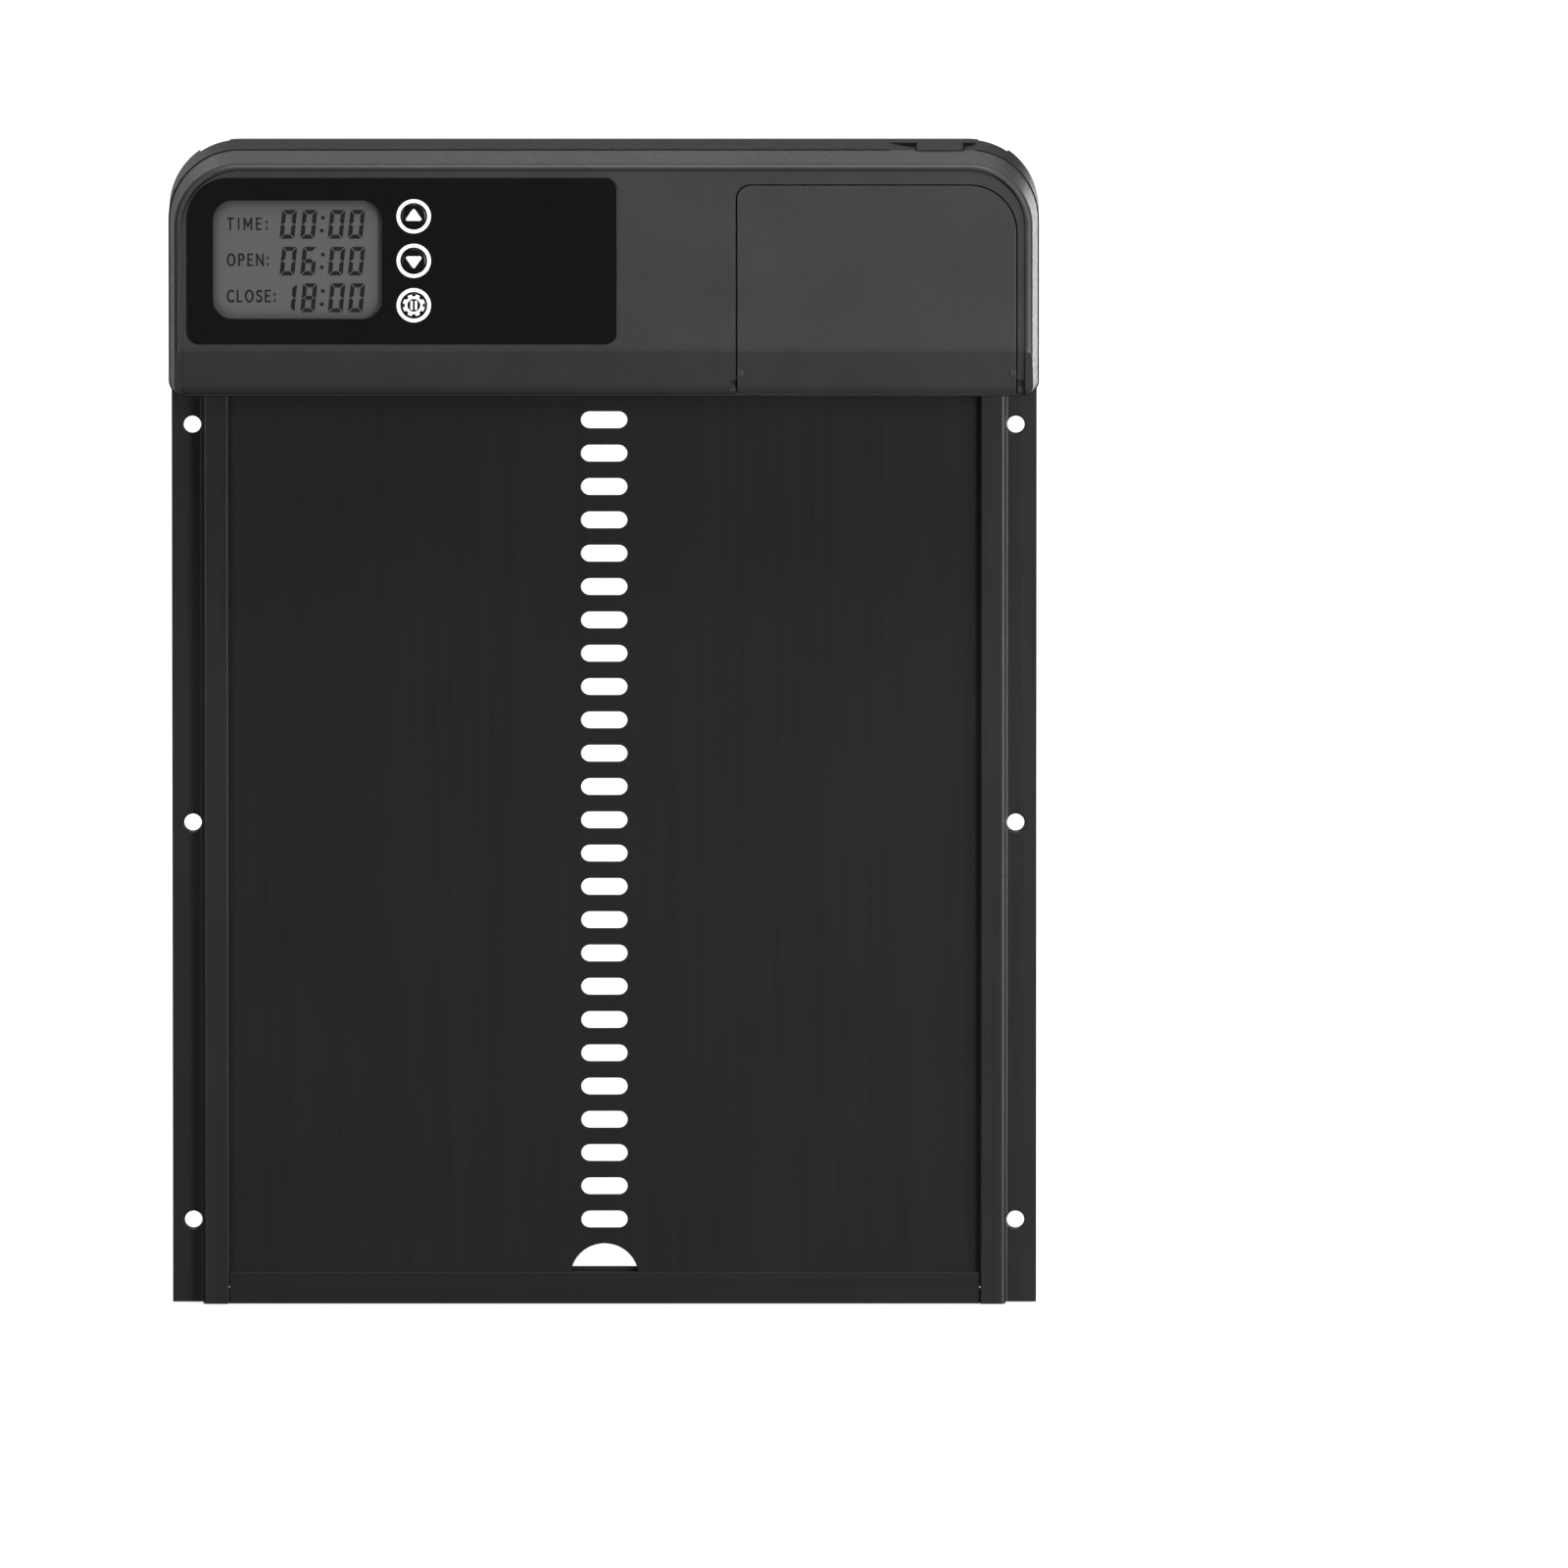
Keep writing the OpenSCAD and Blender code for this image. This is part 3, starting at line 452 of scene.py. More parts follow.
def cell_mat():
    m = Mat("cell_sleeve")
    sep = m.n("ShaderNodeSeparateXYZ")
    m.l(m.tc.outputs["Object"], sep.inputs[0])
    lo, hi = B["aa_cells"]
    d = m.n("ShaderNodeMapRange")
    d.inputs["From Min"].default_value, d.inputs["From Max"].default_value = lo.z, hi.z
    m.l(sep.outputs[2], d.inputs["Value"])
    m.colour(m.ramp(d.outputs[0], [(0.0, (0.45, 0.45, 0.46, 1)), (0.07, (0.02, 0.14, 0.06, 1)), (0.60, (0.02, 0.16, 0.07, 1)), (0.66, (0.02, 0.02, 0.02, 1)), (0.94, (0.5, 0.5, 0.5, 1))]))
    k = m.noise(500, 3, 0.6)
    m.rough(m.rng(k, 0.2, 0.34))
    m.bump([(k, 0.08, 0.00003)])
    m.b.inputs["Metallic"].default_value = 0.4
    return m.m


PCB, LCD, LENS, CELL = pcb_mat(), lcd_mat(), lens_mat(), cell_mat()

CAD_MATS = {
    "sill_screws": STEEL, "housing_gasket": RUBBER, "clamp_screws": STEEL, "housing_screws": STEEL, "display_lens": LENS,
    "lcd_glass": LCD, "lcd_holder": CREAM, "lcd_connector": RUBBER, "main_pcb": PCB, "pcb_components": CHIP,
    "pcb_connectors": CREAM, "pcb_screws": STEEL, "tact_switches": CHIP, "up_plunger": CREAM, "down_plunger": CREAM,
    "set_plunger": CREAM, "gearbox_case": NYLON, "gearbox_cover": NYLON, "gearbox_screws": STEEL, "gear_axle": STEEL,
    "first_gear": STEEL, "second_gear": STEEL, "third_gear": STEEL, "output_gear": NYLON, "output_shaft": STEEL,
    "drive_sprocket": CREAM, "shaft_bushings": BRASS, "motor_can": STEEL, "motor_endcap": CREAM, "motor_magnets": FERRITE,
    "motor_armature": COPPER, "motor_pinion": BRASS, "motor_leads": WIRE_R, "battery_tray": INNER, "tray_screws": STEEL,
    "aa_cells": CELL, "battery_springs": NICKEL, "battery_plates": NICKEL, "battery_leads": WIRE_K, "power_socket": CHIP,
    "power_leads": WIRE_K,
}
for n, mat in CAD_MATS.items():
    o = N[n]
    o.data.materials.clear()
    o.data.materials.append(mat)
    for p in o.data.polygons:
        p.material_index = 0

# ------------------------------------------------------------------ measures read from the frame
hx0, hx1, hd0, hd1, hz0, hz1 = mmbox("front_housing")
rx0, rx1, rd0, rd1, rz0, rz1 = mmbox("rear_housing")
HW, ZH, ZT, SEAM, RIM = rx1, rz0, rz1, rd1, hd1
px0, px1, pd0, pd1, pz0, pz1 = mmbox("control_panel")
lx0, lx1, ld0, ld1, lz0, lz1 = mmbox("display_lens")
cbx0, cbx1, cd0, cd1, cz0, cz1 = mmbox("battery_cover")
CX0, CX1 = cbx0 + 1.9, cbx1 - 1.9              # the cover's plate, inside its two tongues
FACE = cd1
HR, CREASE = 19.5, 271.6
SLOT_P, SLOT_Z = 9.3, 23.35


def head(i=0.0, n=None):
    rb = max(0.6, 4.5 - 0.6 * i)
    return rr(-HW + i, ZH + i, HW - i, ZT - i, rb, rb, HR - i, HR - i, n)


def loft(name, levels):
    """solid through outlines with the same number of points: levels is [(outline, depth)]"""
    bm = bmesh.new()
    rows = [[bm.verts.new(W(p[0], d, p[1])) for p in out] for out, d in levels]
    bm.faces.new(rows[0])
    bm.faces.new(rows[-1])
    for lo, hi in zip(rows, rows[1:]):
        for i in range(len(lo)):
            j = (i + 1) % len(lo)
            bm.faces.new((lo[i], lo[j], hi[j], hi[i]))
    return to_mesh(bm, name)


def face_profile(i, zt=340):
    """(depth, z) section of the head's front at inset i behind the rim: flat face, soft crease, sloping chin, rounded lip, underside"""
    f = RIM - i
    sl = math.atan2(2.5, 12.4)                # chin leans back this much
    pts = [(SEAM - 6, zt), (f, zt)]
    r = 9.0                                     # soft crease
    t = r * math.tan(sl / 2)
    cc = (f - r, CREASE + t)
    for k in range(7):
        a = sl * k / 6
        pts.append((cc[0] + r * math.cos(a), cc[1] - r * math.sin(a)))
    # lip at the bottom of the chin
    lip = 4.5
    bx_, bz_ = f - 2.5 - lip * 0.15, 259.2 + i * 0.8
    n1 = (math.cos(sl), -math.sin(sl))
    c2 = (bx_ - lip * n1[0], bz_ + 3.0 - lip * n1[1] * 0)
    start = -math.degrees(sl)
    for k in range(9):
        a = math.radians(start - (79 - math.degrees(sl)) * k / 8)
        pts.append((c2[0] + lip * math.cos(a), c2[1] + lip * math.sin(a)))
    pts.append((SEAM, ZH + i * 1.0))
    pts.append((SEAM - 6, ZH + i * 1.0))
    return pts


# ------------------------------------------------------------------ front housing
def outline_edge(e):
    a, b = [f.normal for f in e.link_faces]
    mid = (e.verts[0].co + e.verts[1].co) / 2
    if -mid.y / MM < SEAM + 0.3 or (mid.z - Z0) / MM > CREASE - 1.2:
        return False
    side = lambda n: abs(n.y) < 0.2
    return (side(a) and abs(b.y) > 0.3) or (side(b) and abs(a.y) > 0.3)


fh = prism("front_shell", face_profile(0.0), -HW - 3, HW + 3, "yz")
levels = [(head(0.3, 24), SEAM), (head(1.85, 24), 43.7)]
for a in range(15, 91, 15):                    # rounded front edge
    levels.append((head(1.85 + 1.3 * (1 - math.cos(math.radians(a))) + 0.1, 24), 43.7 + 1.3 * math.sin(math.radians(a))))
levels.append((head(3.4, 24), RIM + 0.4))
cut(fh, [loft("t", levels)], "INTERSECT")
tidy(fh)
edge_round(fh, outline_edge, 1.3, 5)


def band(outer, inner, level):
    """ring between two insets of the outline, above the face profile at that level"""
    t = prism("t", outer, SEAM + 4, RIM + 3)
    if inner:
        cut(t, [prism("t", inner, SEAM + 3, RIM + 4)])
    cut(t, [prism("t", face_profile(level), -HW - 5, HW + 5, "yz")])
    return t


def open_head(i, low, top):
    """outline inset i at the sides, running down past the chin"""
    return rr(-HW + i, low, HW - i, top, 0.6, 0.6, 16.2, 16.2)


cut(fh, [band(open_head(3.8, 240, 321.9), None, RIM - FACE), band(open_head(3.8, 240, 321.9), open_head(3.8, 230, 321.1), 1.2)])
cav = prism("t", head(2.4), SEAM - 2, 36)
cut(cav, [prism("t", head(3.5), SEAM - 3, 42.3)], "UNION")
cut(cav, [prism("t", face_profile(2.6), -HW - 5, HW + 5, "yz")], "INTERSECT")
cut(fh, [cav])
cover_gap = rr(CX0 - 0.42, 230, CX1 + 0.42, cz1 + 0.42, 1, 1, 13.42, 4.0)
cut(fh, [
    prism("t", rr(px0 - 0.1, pz0 - 0.1, px1 + 0.1, pz1 + 0.1, 3.6, 3.6, 3.6, 11.9), pd0 - 0.02, 52),
    prism("t", rr(lx0 - 1.6, lz0 - 1.6, lx1 + 1.6, lz1 + 1.6, 2, 2, 2, 2), 41, 52),
    prism("t", cover_gap, 38.6, 52),
    box("t", 34.6, 115.8, 40.1, 41.65, 230, 266),
])
for b in ("up_button", "down_button", "set_button"):
    q = mmbox(b)
    cut(fh, [disc("t", (q[0] + q[1]) / 2, (q[4] + q[5]) / 2, 5, 41, 52)])
cut(fh, [box("t", 85.8, 99.4, SEAM - 1, 28.5, 323, 330)])
guides = []
for x in (33.6, 113.8):
    w = 3.0
    guides.append(box("g", x, x + w, 39.0, 40.1, 264.4, 318.5))
    guides.append(box("g", x, x + w, 41.65, 42.35, 266.0, 318.5))
    guides.append(box("g", *((x, x + 1.0) if x < 100 else (x + w - 1.0, x + w)), 40.0, 41.7, 264.4, 318.5))
guides.append(box("g", 33.8, 116.6, 39, 42.35, 318.4, 319.6))
tidy(fh)
for g in guides:
    cut(g, [prism("t", head(2.8), 38, 43)], "INTERSECT")
fh = merge("front_shell", [fh] + guides)
smooth(fh, 0.28, 3, 28)
piece(fh, "front_shell", "frame", HEAD, "front_housing")

# ------------------------------------------------------------------ rear housing
rh = prism("rear_shell", head(), rd0, SEAM)
cav = prism("t", head(2.4), 8.4, SEAM + 2)
cut(rh, [cav,
         box("t", -100, 100, 6.4, 12, ZH + 2.4, ZT - 2.2),
         box("t", -103.4, 103.4, 0, 4.2, 240, 340),
         box("t", -111.4, -103.3, 0, 6.3, 240, 340),
         box("t", 103.3, 111.4, 0, 6.3, 240, 340)])
pocket = box("p", 84, 101.2, 10, SEAM, 320.6, ZT - 1)
cut(rh, [pocket], "UNION")
sp = mmbox("drive_sprocket")
cut(rh, [box("t", -6.2, 6.2, 3, 9, sp[4] - 0.9, sp[5] + 0.9),
         prism("t", [(78.1, ZT + 0.5), (78.1, ZT), (82.0, ZT - 0.75), (85.9, ZT - 1.1), (99.3, ZT - 1.1), (101.4, ZT - 0.75), (103.4, ZT), (103.4, ZT + 0.5)], 13, SEAM + 1),
         box("t", 85.8, 99.4, 13.2, SEAM + 1, 323, 330)])
pl = mmbox("socket_plug")
cut(rh, [prism("t", arc(92.6, 18.5, 3.4, 0, 360, 40)[:-1], 319, 330, "xy")])
for x, z in ((-60, 262.0), (-60, 319.0), (36, 262.6), (36, 319.0)):
    cut(rh, [disc("t", x, z, 2.9, 2, 6.2), disc("t", x, z, 1.6, 5, 9)])
tidy(rh)
smooth(rh, 0.45, 3, 28)
piece(rh, "rear_shell", "frame", REAR, "rear_housing")

# ------------------------------------------------------------------ battery cover
bc = prism("battery_lid", face_profile(RIM - FACE, cz1), CX0, CX1, "yz")
inner = prism("t", face_profile(RIM - FACE + 1.6, cz1 + 5), CX0 - 2, CX1 + 2, "yz")
cut(bc, [inner], "DIFFERENCE")
cut(bc, [prism("t", rr(CX0, 230, CX1, cz1, 1, 1, 13, 3.6), 39.2, 50)], "INTERSECT")
cut(bc, [box("t", 41.6, 108.8, 30, 40.85, 261.2, 330)])
tidy(bc)
tg = []
for s in (0, 1):
    a = (lambda x0, x1: (x0, x1)) if s == 0 else (lambda x0, x1: (CX0 + CX1 - x1, CX0 + CX1 - x0))
    tg.append(box("g", *a(CX0, CX0 + 1.6), 40.4, 42.6, 264, 303))
    tg.append(box("g", *a(CX0 - 1.9, CX0 + 0.1), 40.4, 41.35, 264, 303))
bc = merge("battery_lid", [bc] + tg)
smooth(bc, 0.32, 3, 28)
piece(bc, "battery_lid", "battery_door", COVER, "battery_cover")

# ------------------------------------------------------------------ control panel, display and buttons
pn = prism("panel_plate", rr(px0, pz0, px1, pz1, 3.5, 3.5, 3.5, 11.7), pd0, pd1)
cut(pn, [prism("t", rr(lx0 - 0.05, lz0 - 0.05, lx1 + 0.05, lz1 + 0.05, 5.2, 5.2, 5.2, 5.2), pd0 - 1, pd1 + 1)])
BC = {}
for b in ("up_button", "down_button", "set_button"):
    q = mmbox(b)
    BC[b] = ((q[0] + q[1]) / 2, (q[4] + q[5]) / 2, q[2], q[3])
    cut(pn, [disc("t", BC[b][0], BC[b][1], 3.65, pd0 - 1, pd1 + 1, 64)])
tidy(pn)
smooth(pn, 0.18, 3, 30)
piece(pn, "panel_plate", "frame", PANEL, "control_panel")


def flat(name, polys, d, t, body, mat):
    """thin printed shapes, raised t mm, in front of depth d"""
    o = merge(name, [prism("f", p, d, d + t) for p in polys])
    for p in o.data.polygons:
        p.use_smooth = False
    return piece(o, name, body, mat)


def ring(name, x, z, ro, ri, d, t, body, mat, n=72):
    bm = bmesh.new()
    rows = []
    for r, dd in ((ro, d), (ro, d + t), (ri, d + t), (ri, d)):
        rows.append([bm.verts.new(W(x + r * math.cos(2 * math.pi * i / n), dd, z + r * math.sin(2 * math.pi * i / n))) for i in range(n)])
    for a in range(4):
        for i in range(n):
            j = (i + 1) % n
            bm.faces.new((rows[a][i], rows[a][j], rows[(a + 1) % 4][j], rows[(a + 1) % 4][i]))
    return piece(to_mesh(bm, name), name, body, mat)


def rounded(poly, r, n=6):
    """polygon with its corners rounded"""
    out = []
    m = len(poly)
    for i in range(m):
        p, a, b = Vector(poly[i]), Vector(poly[i - 1]), Vector(poly[(i + 1) % m])
        u, v = (a - p).normalized(), (b - p).normalized()
        ang = u.angle(v)
        t = r / math.tan(ang / 2)
        c = p + (u + v).normalized() * (r / math.sin(ang / 2))
        s, e = p + u * t - c, p + v * t - c
        a0 = math.atan2(s.y, s.x)
        da = math.atan2(e.y, e.x) - a0
        while da > math.pi: da -= 2 * math.pi
        while da < -math.pi: da += 2 * math.pi
        out += [(c.x + r * math.cos(a0 + da * k / n), c.y + r * math.sin(a0 + da * k / n)) for k in range(n + 1)]
    return out


for b, (x, z, d0, d1) in BC.items():
    key = b.split("_")[0]
    r = 3.35
    prof = [(0, -(d1 - 40.15)), (1.52, -(d1 - 40.15)), (1.52, -(d1 - 43.0)), (4.6, -(d1 - 43.0)), (4.6, -(d1 - 43.62)), (r, -(d1 - 43.62)),
            (r, -0.36), (r - 0.06, -0.20), (r - 0.2, -0.10), (r - 0.4, -0.07), (r - 0.9, -0.09), (0, -0.12)]
    o = lathe(key + "_cap", prof, W(x, d1, z), (0, -1, 0))
    smooth(o, 0, 0, 40)
    piece(o, key + "_cap", key + "_key", BUTTON, b)
    ring(key + "_ring", x, z, 4.74, 3.72, pd1, 0.025, "frame", WHITE)
    if key == "up":
        flat("up_icon", [rounded([(x - 2.55, z - 1.25), (x + 2.55, z - 1.25), (x, z + 2.35)], 0.45)], d1 - 0.13, 0.09, "up_key", WHITE)
    elif key == "down":
        flat("down_icon", [rounded([(x - 2.55, z + 1.25), (x, z - 2.35), (x + 2.55, z + 1.25)], 0.45)], d1 - 0.13, 0.09, "down_key", WHITE)
    else:
        outer = []
        for k in range(8):
            c = 45 * k + 22.5
            for da, rad in ((-19, 2.45), (-14, 2.48), (-10.5, 3.08), (10.5, 3.08), (14, 2.48), (19, 2.45)):
                a = math.radians(c + da)
                outer.append((x + rad * math.cos(a), z + rad * math.sin(a)))
        g = prism("g", outer, d1 - 0.13, d1 - 0.04)
        cut(g, [disc("t", x, z, 1.78, d1 - 1, d1 + 1, 48)])
        piece(g, "gear_icon", "set_key", WHITE)
        flat("pause_icon", [rr(x + s - 0.33, z - 1.25, x + s + 0.33, z + 1.25, 0.1, 0.1, 0.1, 0.1) for s in (-0.62, 0.62)], d1 - 0.13, 0.09, "set_key", WHITE)

# display: seven-segment digits and labels, just in front of the LCD's glass
LG = mmbox("lcd_glass")
PX = 0.27103


def img(X, Y, d=43.5):
    """picture position -> x, z on the plane at depth d"""
    return (X - 616.7) * PX, ((1328 - Y) * PX + d * 0.13917) / 0.99027


SL = 0.10
SEG = {"a": 1, "b": 2, "c": 4, "d": 8, "e": 16, "f": 32, "g": 64}
DIG = {"0": "abcdef", "1": "bc", "6": "acdefg", "8": "abcdefg"}


def seg_polys(X0, X1, Yt, Yb, ch, narrow=False):
    (x0, zt), (x1, zb) = img(X0, Yt), img(X1, Yb)
    w, h, t, g = x1 - x0, zt - zb, 1.16, 0.15
    sh = h * SL
    w -= sh
    out = []

    def put(p):
        out.append([(x0 + q[0] + sh * (q[1] / h), zb + q[1]) for q in p])
    m = h / 2
    S = {
        "a": [(g + 0.15, h), (w - g - 0.15, h), (w - t - g, h - t), (t + g, h - t)],
        "d": [(g + 0.15, 0), (t + g, t), (w - t - g, t), (w - g - 0.15, 0)],
        "b": [(w, h - g - 0.1), (w, m + g), (w - t * 0.5, m + g * 0.6), (w - t, m + t * 0.5 + g * 0.3), (w - t, h - t - g)],
        "c": [(w, g + 0.1), (w - t, t + g), (w - t, m - t * 0.5 - g * 0.3), (w - t * 0.5, m - g * 0.6), (w, m - g)],
        "f": [(0, h - g - 0.1), (t, h - t - g), (t, m + t * 0.5 + g * 0.3), (t * 0.5, m + g * 0.6), (0, m + g)],
        "e": [(0, g + 0.1), (0, m - g), (t * 0.5, m - g * 0.6), (t, m - t * 0.5 - g * 0.3), (t, t + g)],
        "g": [(t * 0.6 + g, m), (t + g * 0.6, m + t * 0.5), (w - t - g * 0.6, m + t * 0.5), (w - t * 0.6 - g, m), (w - t - g * 0.6, m - t * 0.5), (t + g * 0.6, m - t * 0.5)],
    }
    for k in DIG[ch]:
        put(S[k])
    return out


ROWS = [(216.9, 246.1, "0000"), (254.3, 283.3, "0600"), (291.3, 320.8, "1800")]
COLS = [(287.5, 305.5), (308.5, 326.0), (336.5, 354.5), (356.8, 374.6)]
for r, (yt, yb, txt) in enumerate(ROWS):
    polys = []
    for c, ch in enumerate(txt):
        polys += seg_polys(*COLS[c], yt, yb, ch)
    for f in (0.27, 0.72):
        X, Y = 331.0 + (0.5 - f) * 2.4, yt + (yb - yt) * f
        x, z = img(X, Y)
        polys.append(arc(x, z, 0.55, 0, 360, 16)[:-1])
    flat("digits_row%d" % (r + 1), polys, LG[3], 0.03, "frame", INK)

# labels: strokes in a plain engraving alphabet, letter box 1 unit high
GL = {
    "T": (0.62, [[(0, 1), (0.62, 1)], [(0.31, 1), (0.31, 0)]]),
    "I": (0.10, [[(0.05, 1), (0.05, 0)]]),
    "M": (0.80, [[(0.0, 0), (0.0, 1), (0.40, 0.25), (0.80, 1), (0.80, 0)]]),
    "E": (0.50, [[(0.50, 1), (0.0, 1), (0.0, 0), (0.50, 0)], [(0.0, 0.52), (0.44, 0.52)]]),
    "O": (0.80, [[(0.4 + 0.4 * math.cos(a * math.pi / 12), 0.5 + 0.5 * math.sin(a * math.pi / 12)) for a in range(25)]]),
    "P": (0.52, [[(0, 0), (0, 1), (0.28, 1)] + [(0.28 + 0.25 * math.sin(a * math.pi / 8), 0.74 + 0.26 * math.cos(a * math.pi / 8)) for a in range(1, 8)] + [(0.28, 0.48), (0, 0.48)]]),
    "N": (0.68, [[(0, 0), (0, 1), (0.68, 0), (0.68, 1)]]),
    "C": (0.66, [[(0.42 + 0.42 * math.cos(math.radians(a)), 0.5 + 0.5 * math.sin(math.radians(a))) for a in range(52, 309, 16)]]),
    "L": (0.46, [[(0, 1), (0, 0), (0.46, 0)]]),
    "S": (0.52, [[(0.50, 0.86), (0.40, 0.97), (0.26, 1.0), (0.10, 0.96), (0.02, 0.82), (0.03, 0.68), (0.14, 0.57), (0.36, 0.47), (0.49, 0.36), (0.51, 0.20), (0.42, 0.06), (0.26, 0.0), (0.10, 0.03), (0.0, 0.13)]]),
    ":": (0.10, [[(0.05, 0.14), (0.05, 0.02)], [(0.05, 0.72), (0.05, 0.60)]]),
}


def stroke(pts, w):
    """ribbon polygons along a polyline"""
    out = []
    for a, b in zip(pts, pts[1:]):
        a, b = Vector(a), Vector(b)
        u = (b - a).normalized()
        n = Vector((-u.y, u.x)) * w / 2
        e = u * w * 0.42
        out.append([tuple(a - e - n), tuple(b + e - n), tuple(b + e + n), tuple(a - e + n)])
    return out


for r, (txt, base, right) in enumerate((("TIME:", 236.6, 275.0), ("OPEN:", 273.0, 276.0), ("CLOSE:", 309.8, 283.0))):
    x0, z0 = img(234.8, base)
    cap = 3.05
    widths = [GL[c][0] * cap * 0.80 for c in txt]
    span = (right - 234.8) * PX
    gap = (span - sum(widths)) / (len(txt) - 1)
    x = x0
    polys = []
    for c, wd in zip(txt, widths):
        for line in GL[c][1]:
            polys += stroke([(x + p[0] * cap * 0.80, z0 + p[1] * cap) for p in line], 0.48)
        x += wd + gap
    o = merge("label_row%d" % (r + 1), [prism("f", p, LG[3], LG[3] + 0.03 + 0.0004 * (i % 7)) for i, p in enumerate(polys)])
    piece(o, "label_row%d" % (r + 1), "frame", INK)

# ------------------------------------------------------------------ plug
pb = prism("plug_cap", rr(pl[0], 323.1, pl[1], pl[5], 0.3, 0.3, 0.9, 0.9), 13.5, pl[3])
st = prism("s", arc(92.6, 18.5, 2.6, 0, 360, 40)[:-1], pl[4], 323.2, "xy")
cut(pb, [st], "UNION")
tidy(pb)
smooth(pb, 0.22, 3, 35)
piece(pb, "plug_cap", "plug", RUBBER, "socket_plug")

# ------------------------------------------------------------------ rails, sill, door
ra = mmbox("right_rail")
FW, RT = ra[1], ra[5]


def rail(name, node, s):
    P = ([(104, 0), (FW, 0), (FW, 1.5), (111.6, 1.5)] + [(111.0 + 0.6 * (1 - math.sin(math.radians(a))), 2.1 - 0.6 * math.cos(math.radians(a))) for a in range(0, 91, 15)][1:] +
         [(111, 4.8)] + [(109.8 + 1.2 * math.cos(math.radians(a)), 4.8 + 1.2 * math.sin(math.radians(a))) for a in range(0, 91, 11)] +
         [(109.8, 6), (104.35, 6), (104, 5.65), (104, 4.7), (109.6, 4.7), (109.6, 1.5), (104, 1.5)])
    P = [(x * s, d) for x, d in P]
    o = prism(name, P, 0, RT, "xy")
    cut(o, [box("t", *((111.1, FW + 1) if s > 0 else (-FW - 1, -111.1)), -1, 7, 302, 330)])
    for z in (23, 134, 245):
        t = lathe("t", [(0, -0.5), (2.4, -0.5), (2.4, 1.2), (2.85, 1.51), (3.0, 2.6), (0, 2.6)], W(s * 113.75, 0, z), (0, -1, 0), 40)
        cut(o, [t])
    for z in (263.2, 299):
        t = lathe("t", [(0, -0.5), (2.95, -0.1), (2.85, 0.0), (1.6, 1.25), (1.6, 3), (0, 3)], W(s * 114.8, 0, z), (0, -1, 0), 32)
        cut(o, [t])
    tidy(o)
    smooth(o, 0.16, 2, 30)
    piece(o, name, "frame", RAIL, node)


rail("rail_right", "right_rail", 1)
rail("rail_left", "left_rail", -1)

si = mmbox("sill")
so = prism("sill_channel", [(0.3, 0), (0.3, si[5]), (1.5, si[5]), (1.5, 1.5), (4.2, 1.5), (4.2, 8.8), (5.2, 8.8), (5.2, 0.0)], -103.8, 103.8, "yz")
for s in (-1, 1):
    cut(so, [box("t", *sorted((s * 97, s * 109.4)), 1.7, 4.5, 0.0, 4.0)], "UNION")
tidy(so)
smooth(so, 0.22, 2, 30)
piece(so, "sill_channel", "frame", SILL, "sill")

dp = mmbox("door_panel")
do = prism("door_leaf", rr(dp[0], dp[4], dp[1], dp[5], 0.6, 0.6, 4, 4), dp[2], dp[3])
holes = []
for k in range(30):
    z = SLOT_Z + SLOT_P * k
    r, c = 2.4, 4.0
    holes.append(prism("h", arc(c, z, r, -90, 90, 14) + arc(-c, z, r, 90, 270, 14), dp[2] - 1, dp[3] + 1))
notch = [(-9.45, 0.0), (9.45, 0.0), (9.45, 7.15)] + arc(0, 7.15, 9.45, 0, 180, 36)[1:-1] + [(-9.45, 7.15)]
holes.append(prism("h", notch, dp[2] - 1, dp[3] + 1))
cut(do, [merge("holes", holes)])
tidy(do)
smooth(do, 0.14, 2, 30)
piece(do, "door_leaf", "door", DOOR, "door_panel")

# soften the CAD nodes' shading
for n in CAD_MATS:
    o = N[n]
    if n not in ("display_lens",):
        for p in o.data.polygons:
            p.use_smooth = True
        if hasattr(o.data, "set_sharp_from_angle"):
            o.data.set_sharp_from_angle(angle=math.radians(35))

# ------------------------------------------------------------------ floor, light, camera
def stage_mat(name, v, glow):
    m = Mat(name)
    k = m.noise(6, 3, 0.5)
    m.colour(m.ramp(k, [(0.3, (v * 0.985,) * 3 + (1,)), (0.7, (v,) * 3 + (1,))]))
    m.rough(m.rng(k, 0.35, 0.42))
    m.b.inputs["Emission Color"].default_value = (1, 1, 1, 1)
    tc, xyz, mr = m.m.node_tree.nodes.new("ShaderNodeTexCoord"), m.m.node_tree.nodes.new("ShaderNodeSeparateXYZ"), m.m.node_tree.nodes.new("ShaderNodeMapRange")
    m.m.node_tree.links.new(tc.outputs["Object"], xyz.inputs[0])
    m.m.node_tree.links.new(xyz.outputs["Y"], mr.inputs["Value"])
    mr.inputs["From Min"].default_value, mr.inputs["From Max"].default_value = 0.5, 1.6
    mr.inputs["To Min"].default_value, mr.inputs["To Max"].default_value = glow, 1.1
    m.m.node_tree.links.new(mr.outputs["Result"], m.b.inputs["Emission Strength"])
    m.b.inputs["Specular IOR Level"].default_value = 0.3
    return m.m


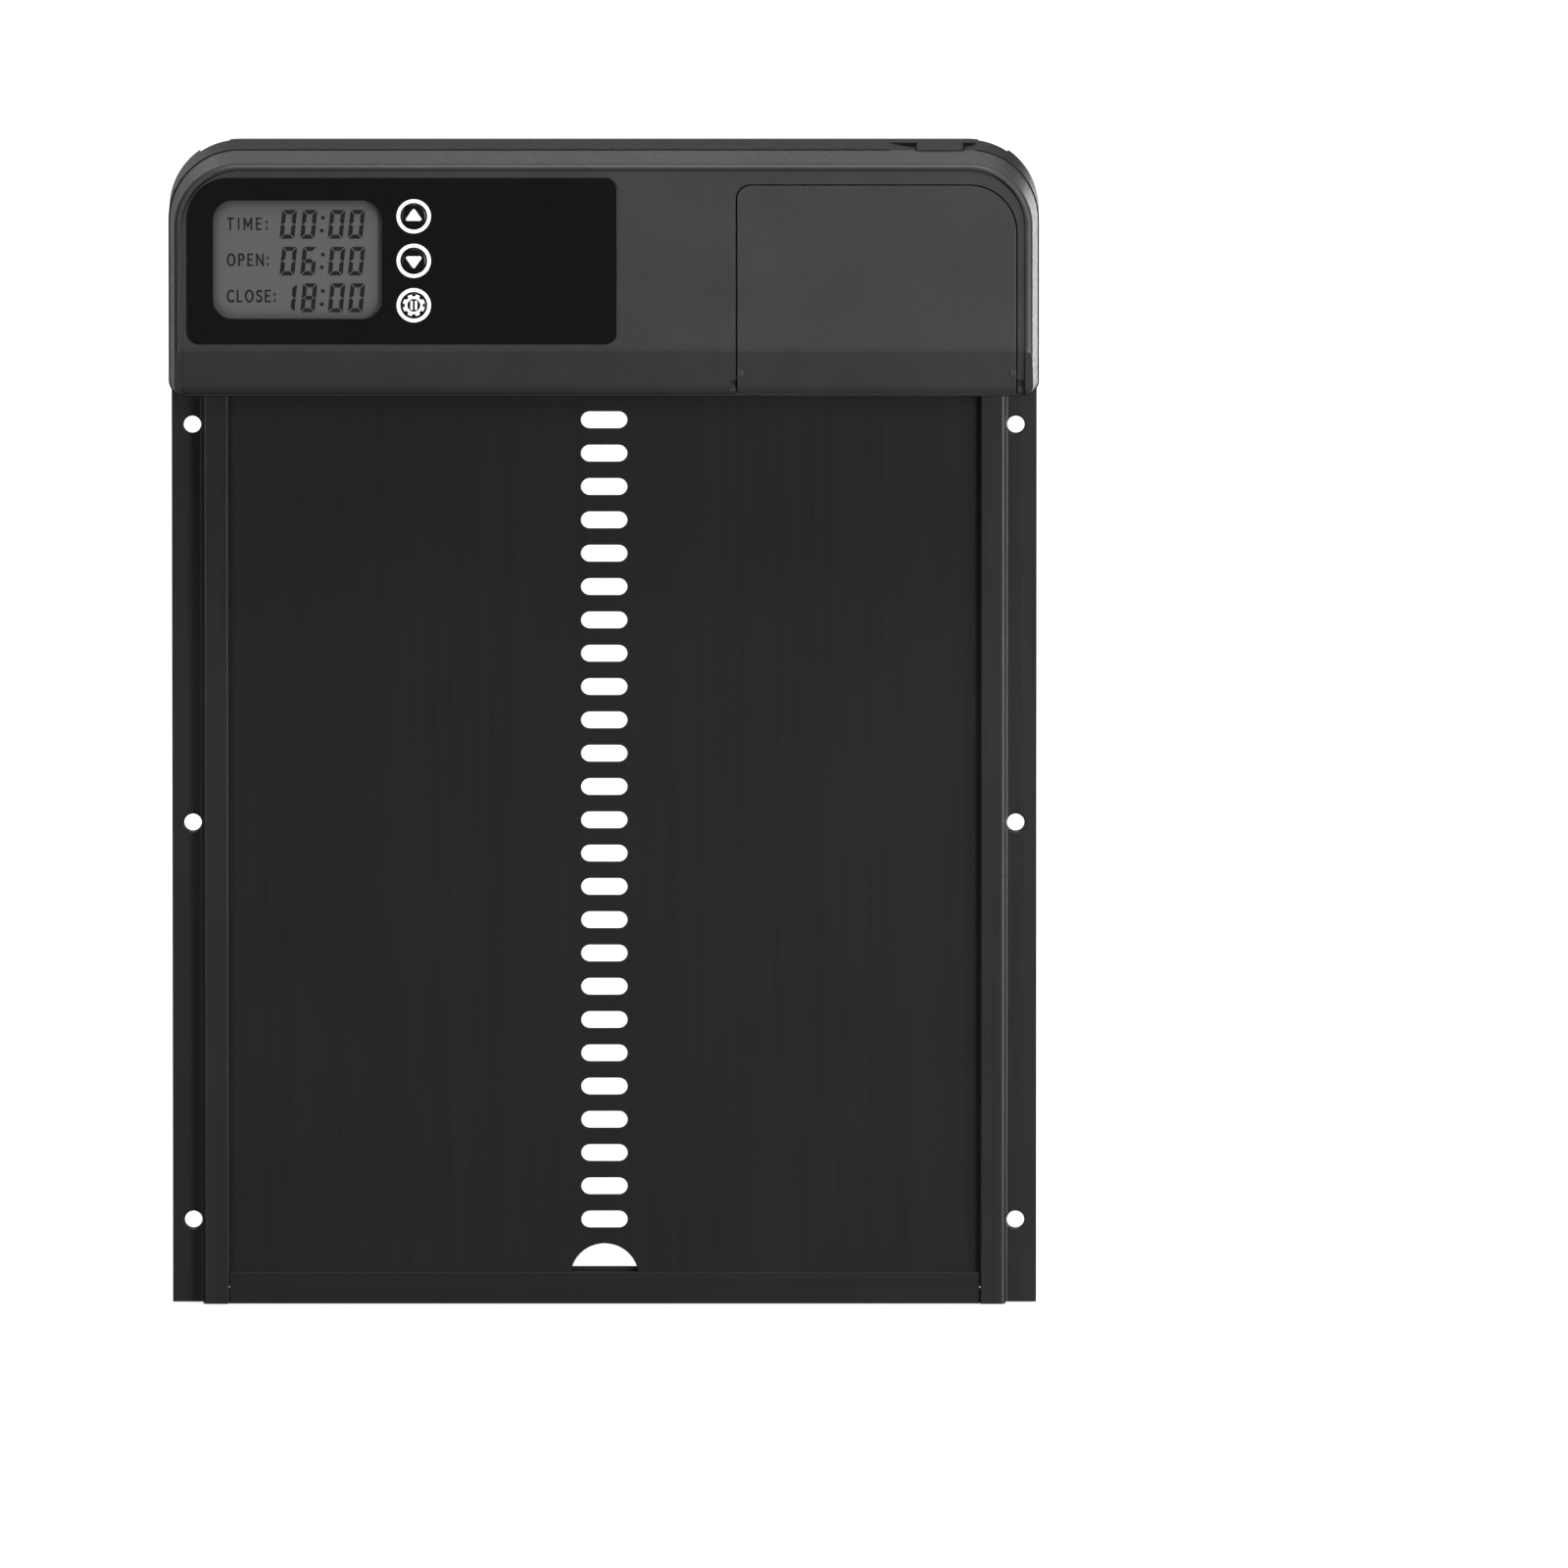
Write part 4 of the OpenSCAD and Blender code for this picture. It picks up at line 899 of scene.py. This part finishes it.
bm = bmesh.new()
zf = Z0 - 0.0003
rows = [[bm.verts.new((x, y, zf)) for x in (-3.0, 3.0)] for y in (-2.4, -0.5, 0.0, 0.5, 0.9, 2.0, 5.5)]
for a, b in zip(rows, rows[1:]):
    bm.faces.new((a[0], a[1], b[1], b[0]))
fl = to_mesh(bm, "studio_floor")
for p in fl.data.polygons:
    p.use_smooth = True
fl.data.materials.append(stage_mat("floor_white", 0.88, 0.68))
fl.visible_glossy = False
fl.visible_diffuse = False

w = bpy.data.worlds.new("studio")
bpy.context.scene.world = w
w.use_nodes = True
w.node_tree.nodes["Background"].inputs[0].default_value = (0.9, 0.93, 1.0, 1)
w.node_tree.nodes["Background"].inputs[1].default_value = 0.10


def area(name, at, look, sx, sy, power, col=(1, 1, 1)):
    d = bpy.data.lights.new(name, "AREA")
    d.shape, d.size, d.size_y, d.energy, d.color = "RECTANGLE", sx, sy, power, col
    o = bpy.data.objects.new(name, d)
    COL.objects.link(o)
    o.location = at
    o.rotation_euler = (Vector(look) - Vector(at)).to_track_quat("-Z", "Y").to_euler()
    return o


area("top_soft", (0.20, -0.42, 1.35), (0, -0.02, 0.05), 1.3, 0.9, 20)
area("right_rear", (0.56, 1.10, 0.02), (0.1, -0.03, 0.0), 0.26, 0.45, 2.7)
area("right_low", (0.42, -0.16, -0.04), (0.12, -0.01, -0.04), 0.10, 0.24, 0.8)
area("left_rear", (-0.45, 1.15, 0.12), (-0.1, -0.03, 0.03), 0.25, 1.2, 1.0)
area("high_rear", (0.0, 1.15, 0.72), (0.0, -0.03, 0.15), 1.0, 0.25, 0.9)
area("right_front", (1.30, -1.55, 0.10), (0.05, -0.03, 0.03), 0.6, 1.1, 33)
area("left_front", (-1.30, -1.55, 0.10), (-0.05, -0.03, 0.03), 0.5, 1.0, 9)

cam = bpy.data.cameras.new("camera")
cam.lens, cam.sensor_width = 1200.0, 36.0
co = bpy.data.objects.new("camera", cam)
COL.objects.link(co)
bpy.context.scene.camera = co
th = math.radians(8.0)
target = Vector(((800 - 616.7) * PX * MM, 0, ((1328 - 800) * PX / 0.99027) * MM + Z0))
dist = 1600 * PX * MM / 2 / (18.0 / 1200.0)
co.location = target + Vector((0, -math.cos(th), math.sin(th))) * dist
co.rotation_euler = (math.radians(90 - 8.0), 0, 0)
cam.clip_start, cam.clip_end = 0.1, 60
cam.dof.use_dof = False
bpy.context.scene.view_settings.view_transform = "Standard"
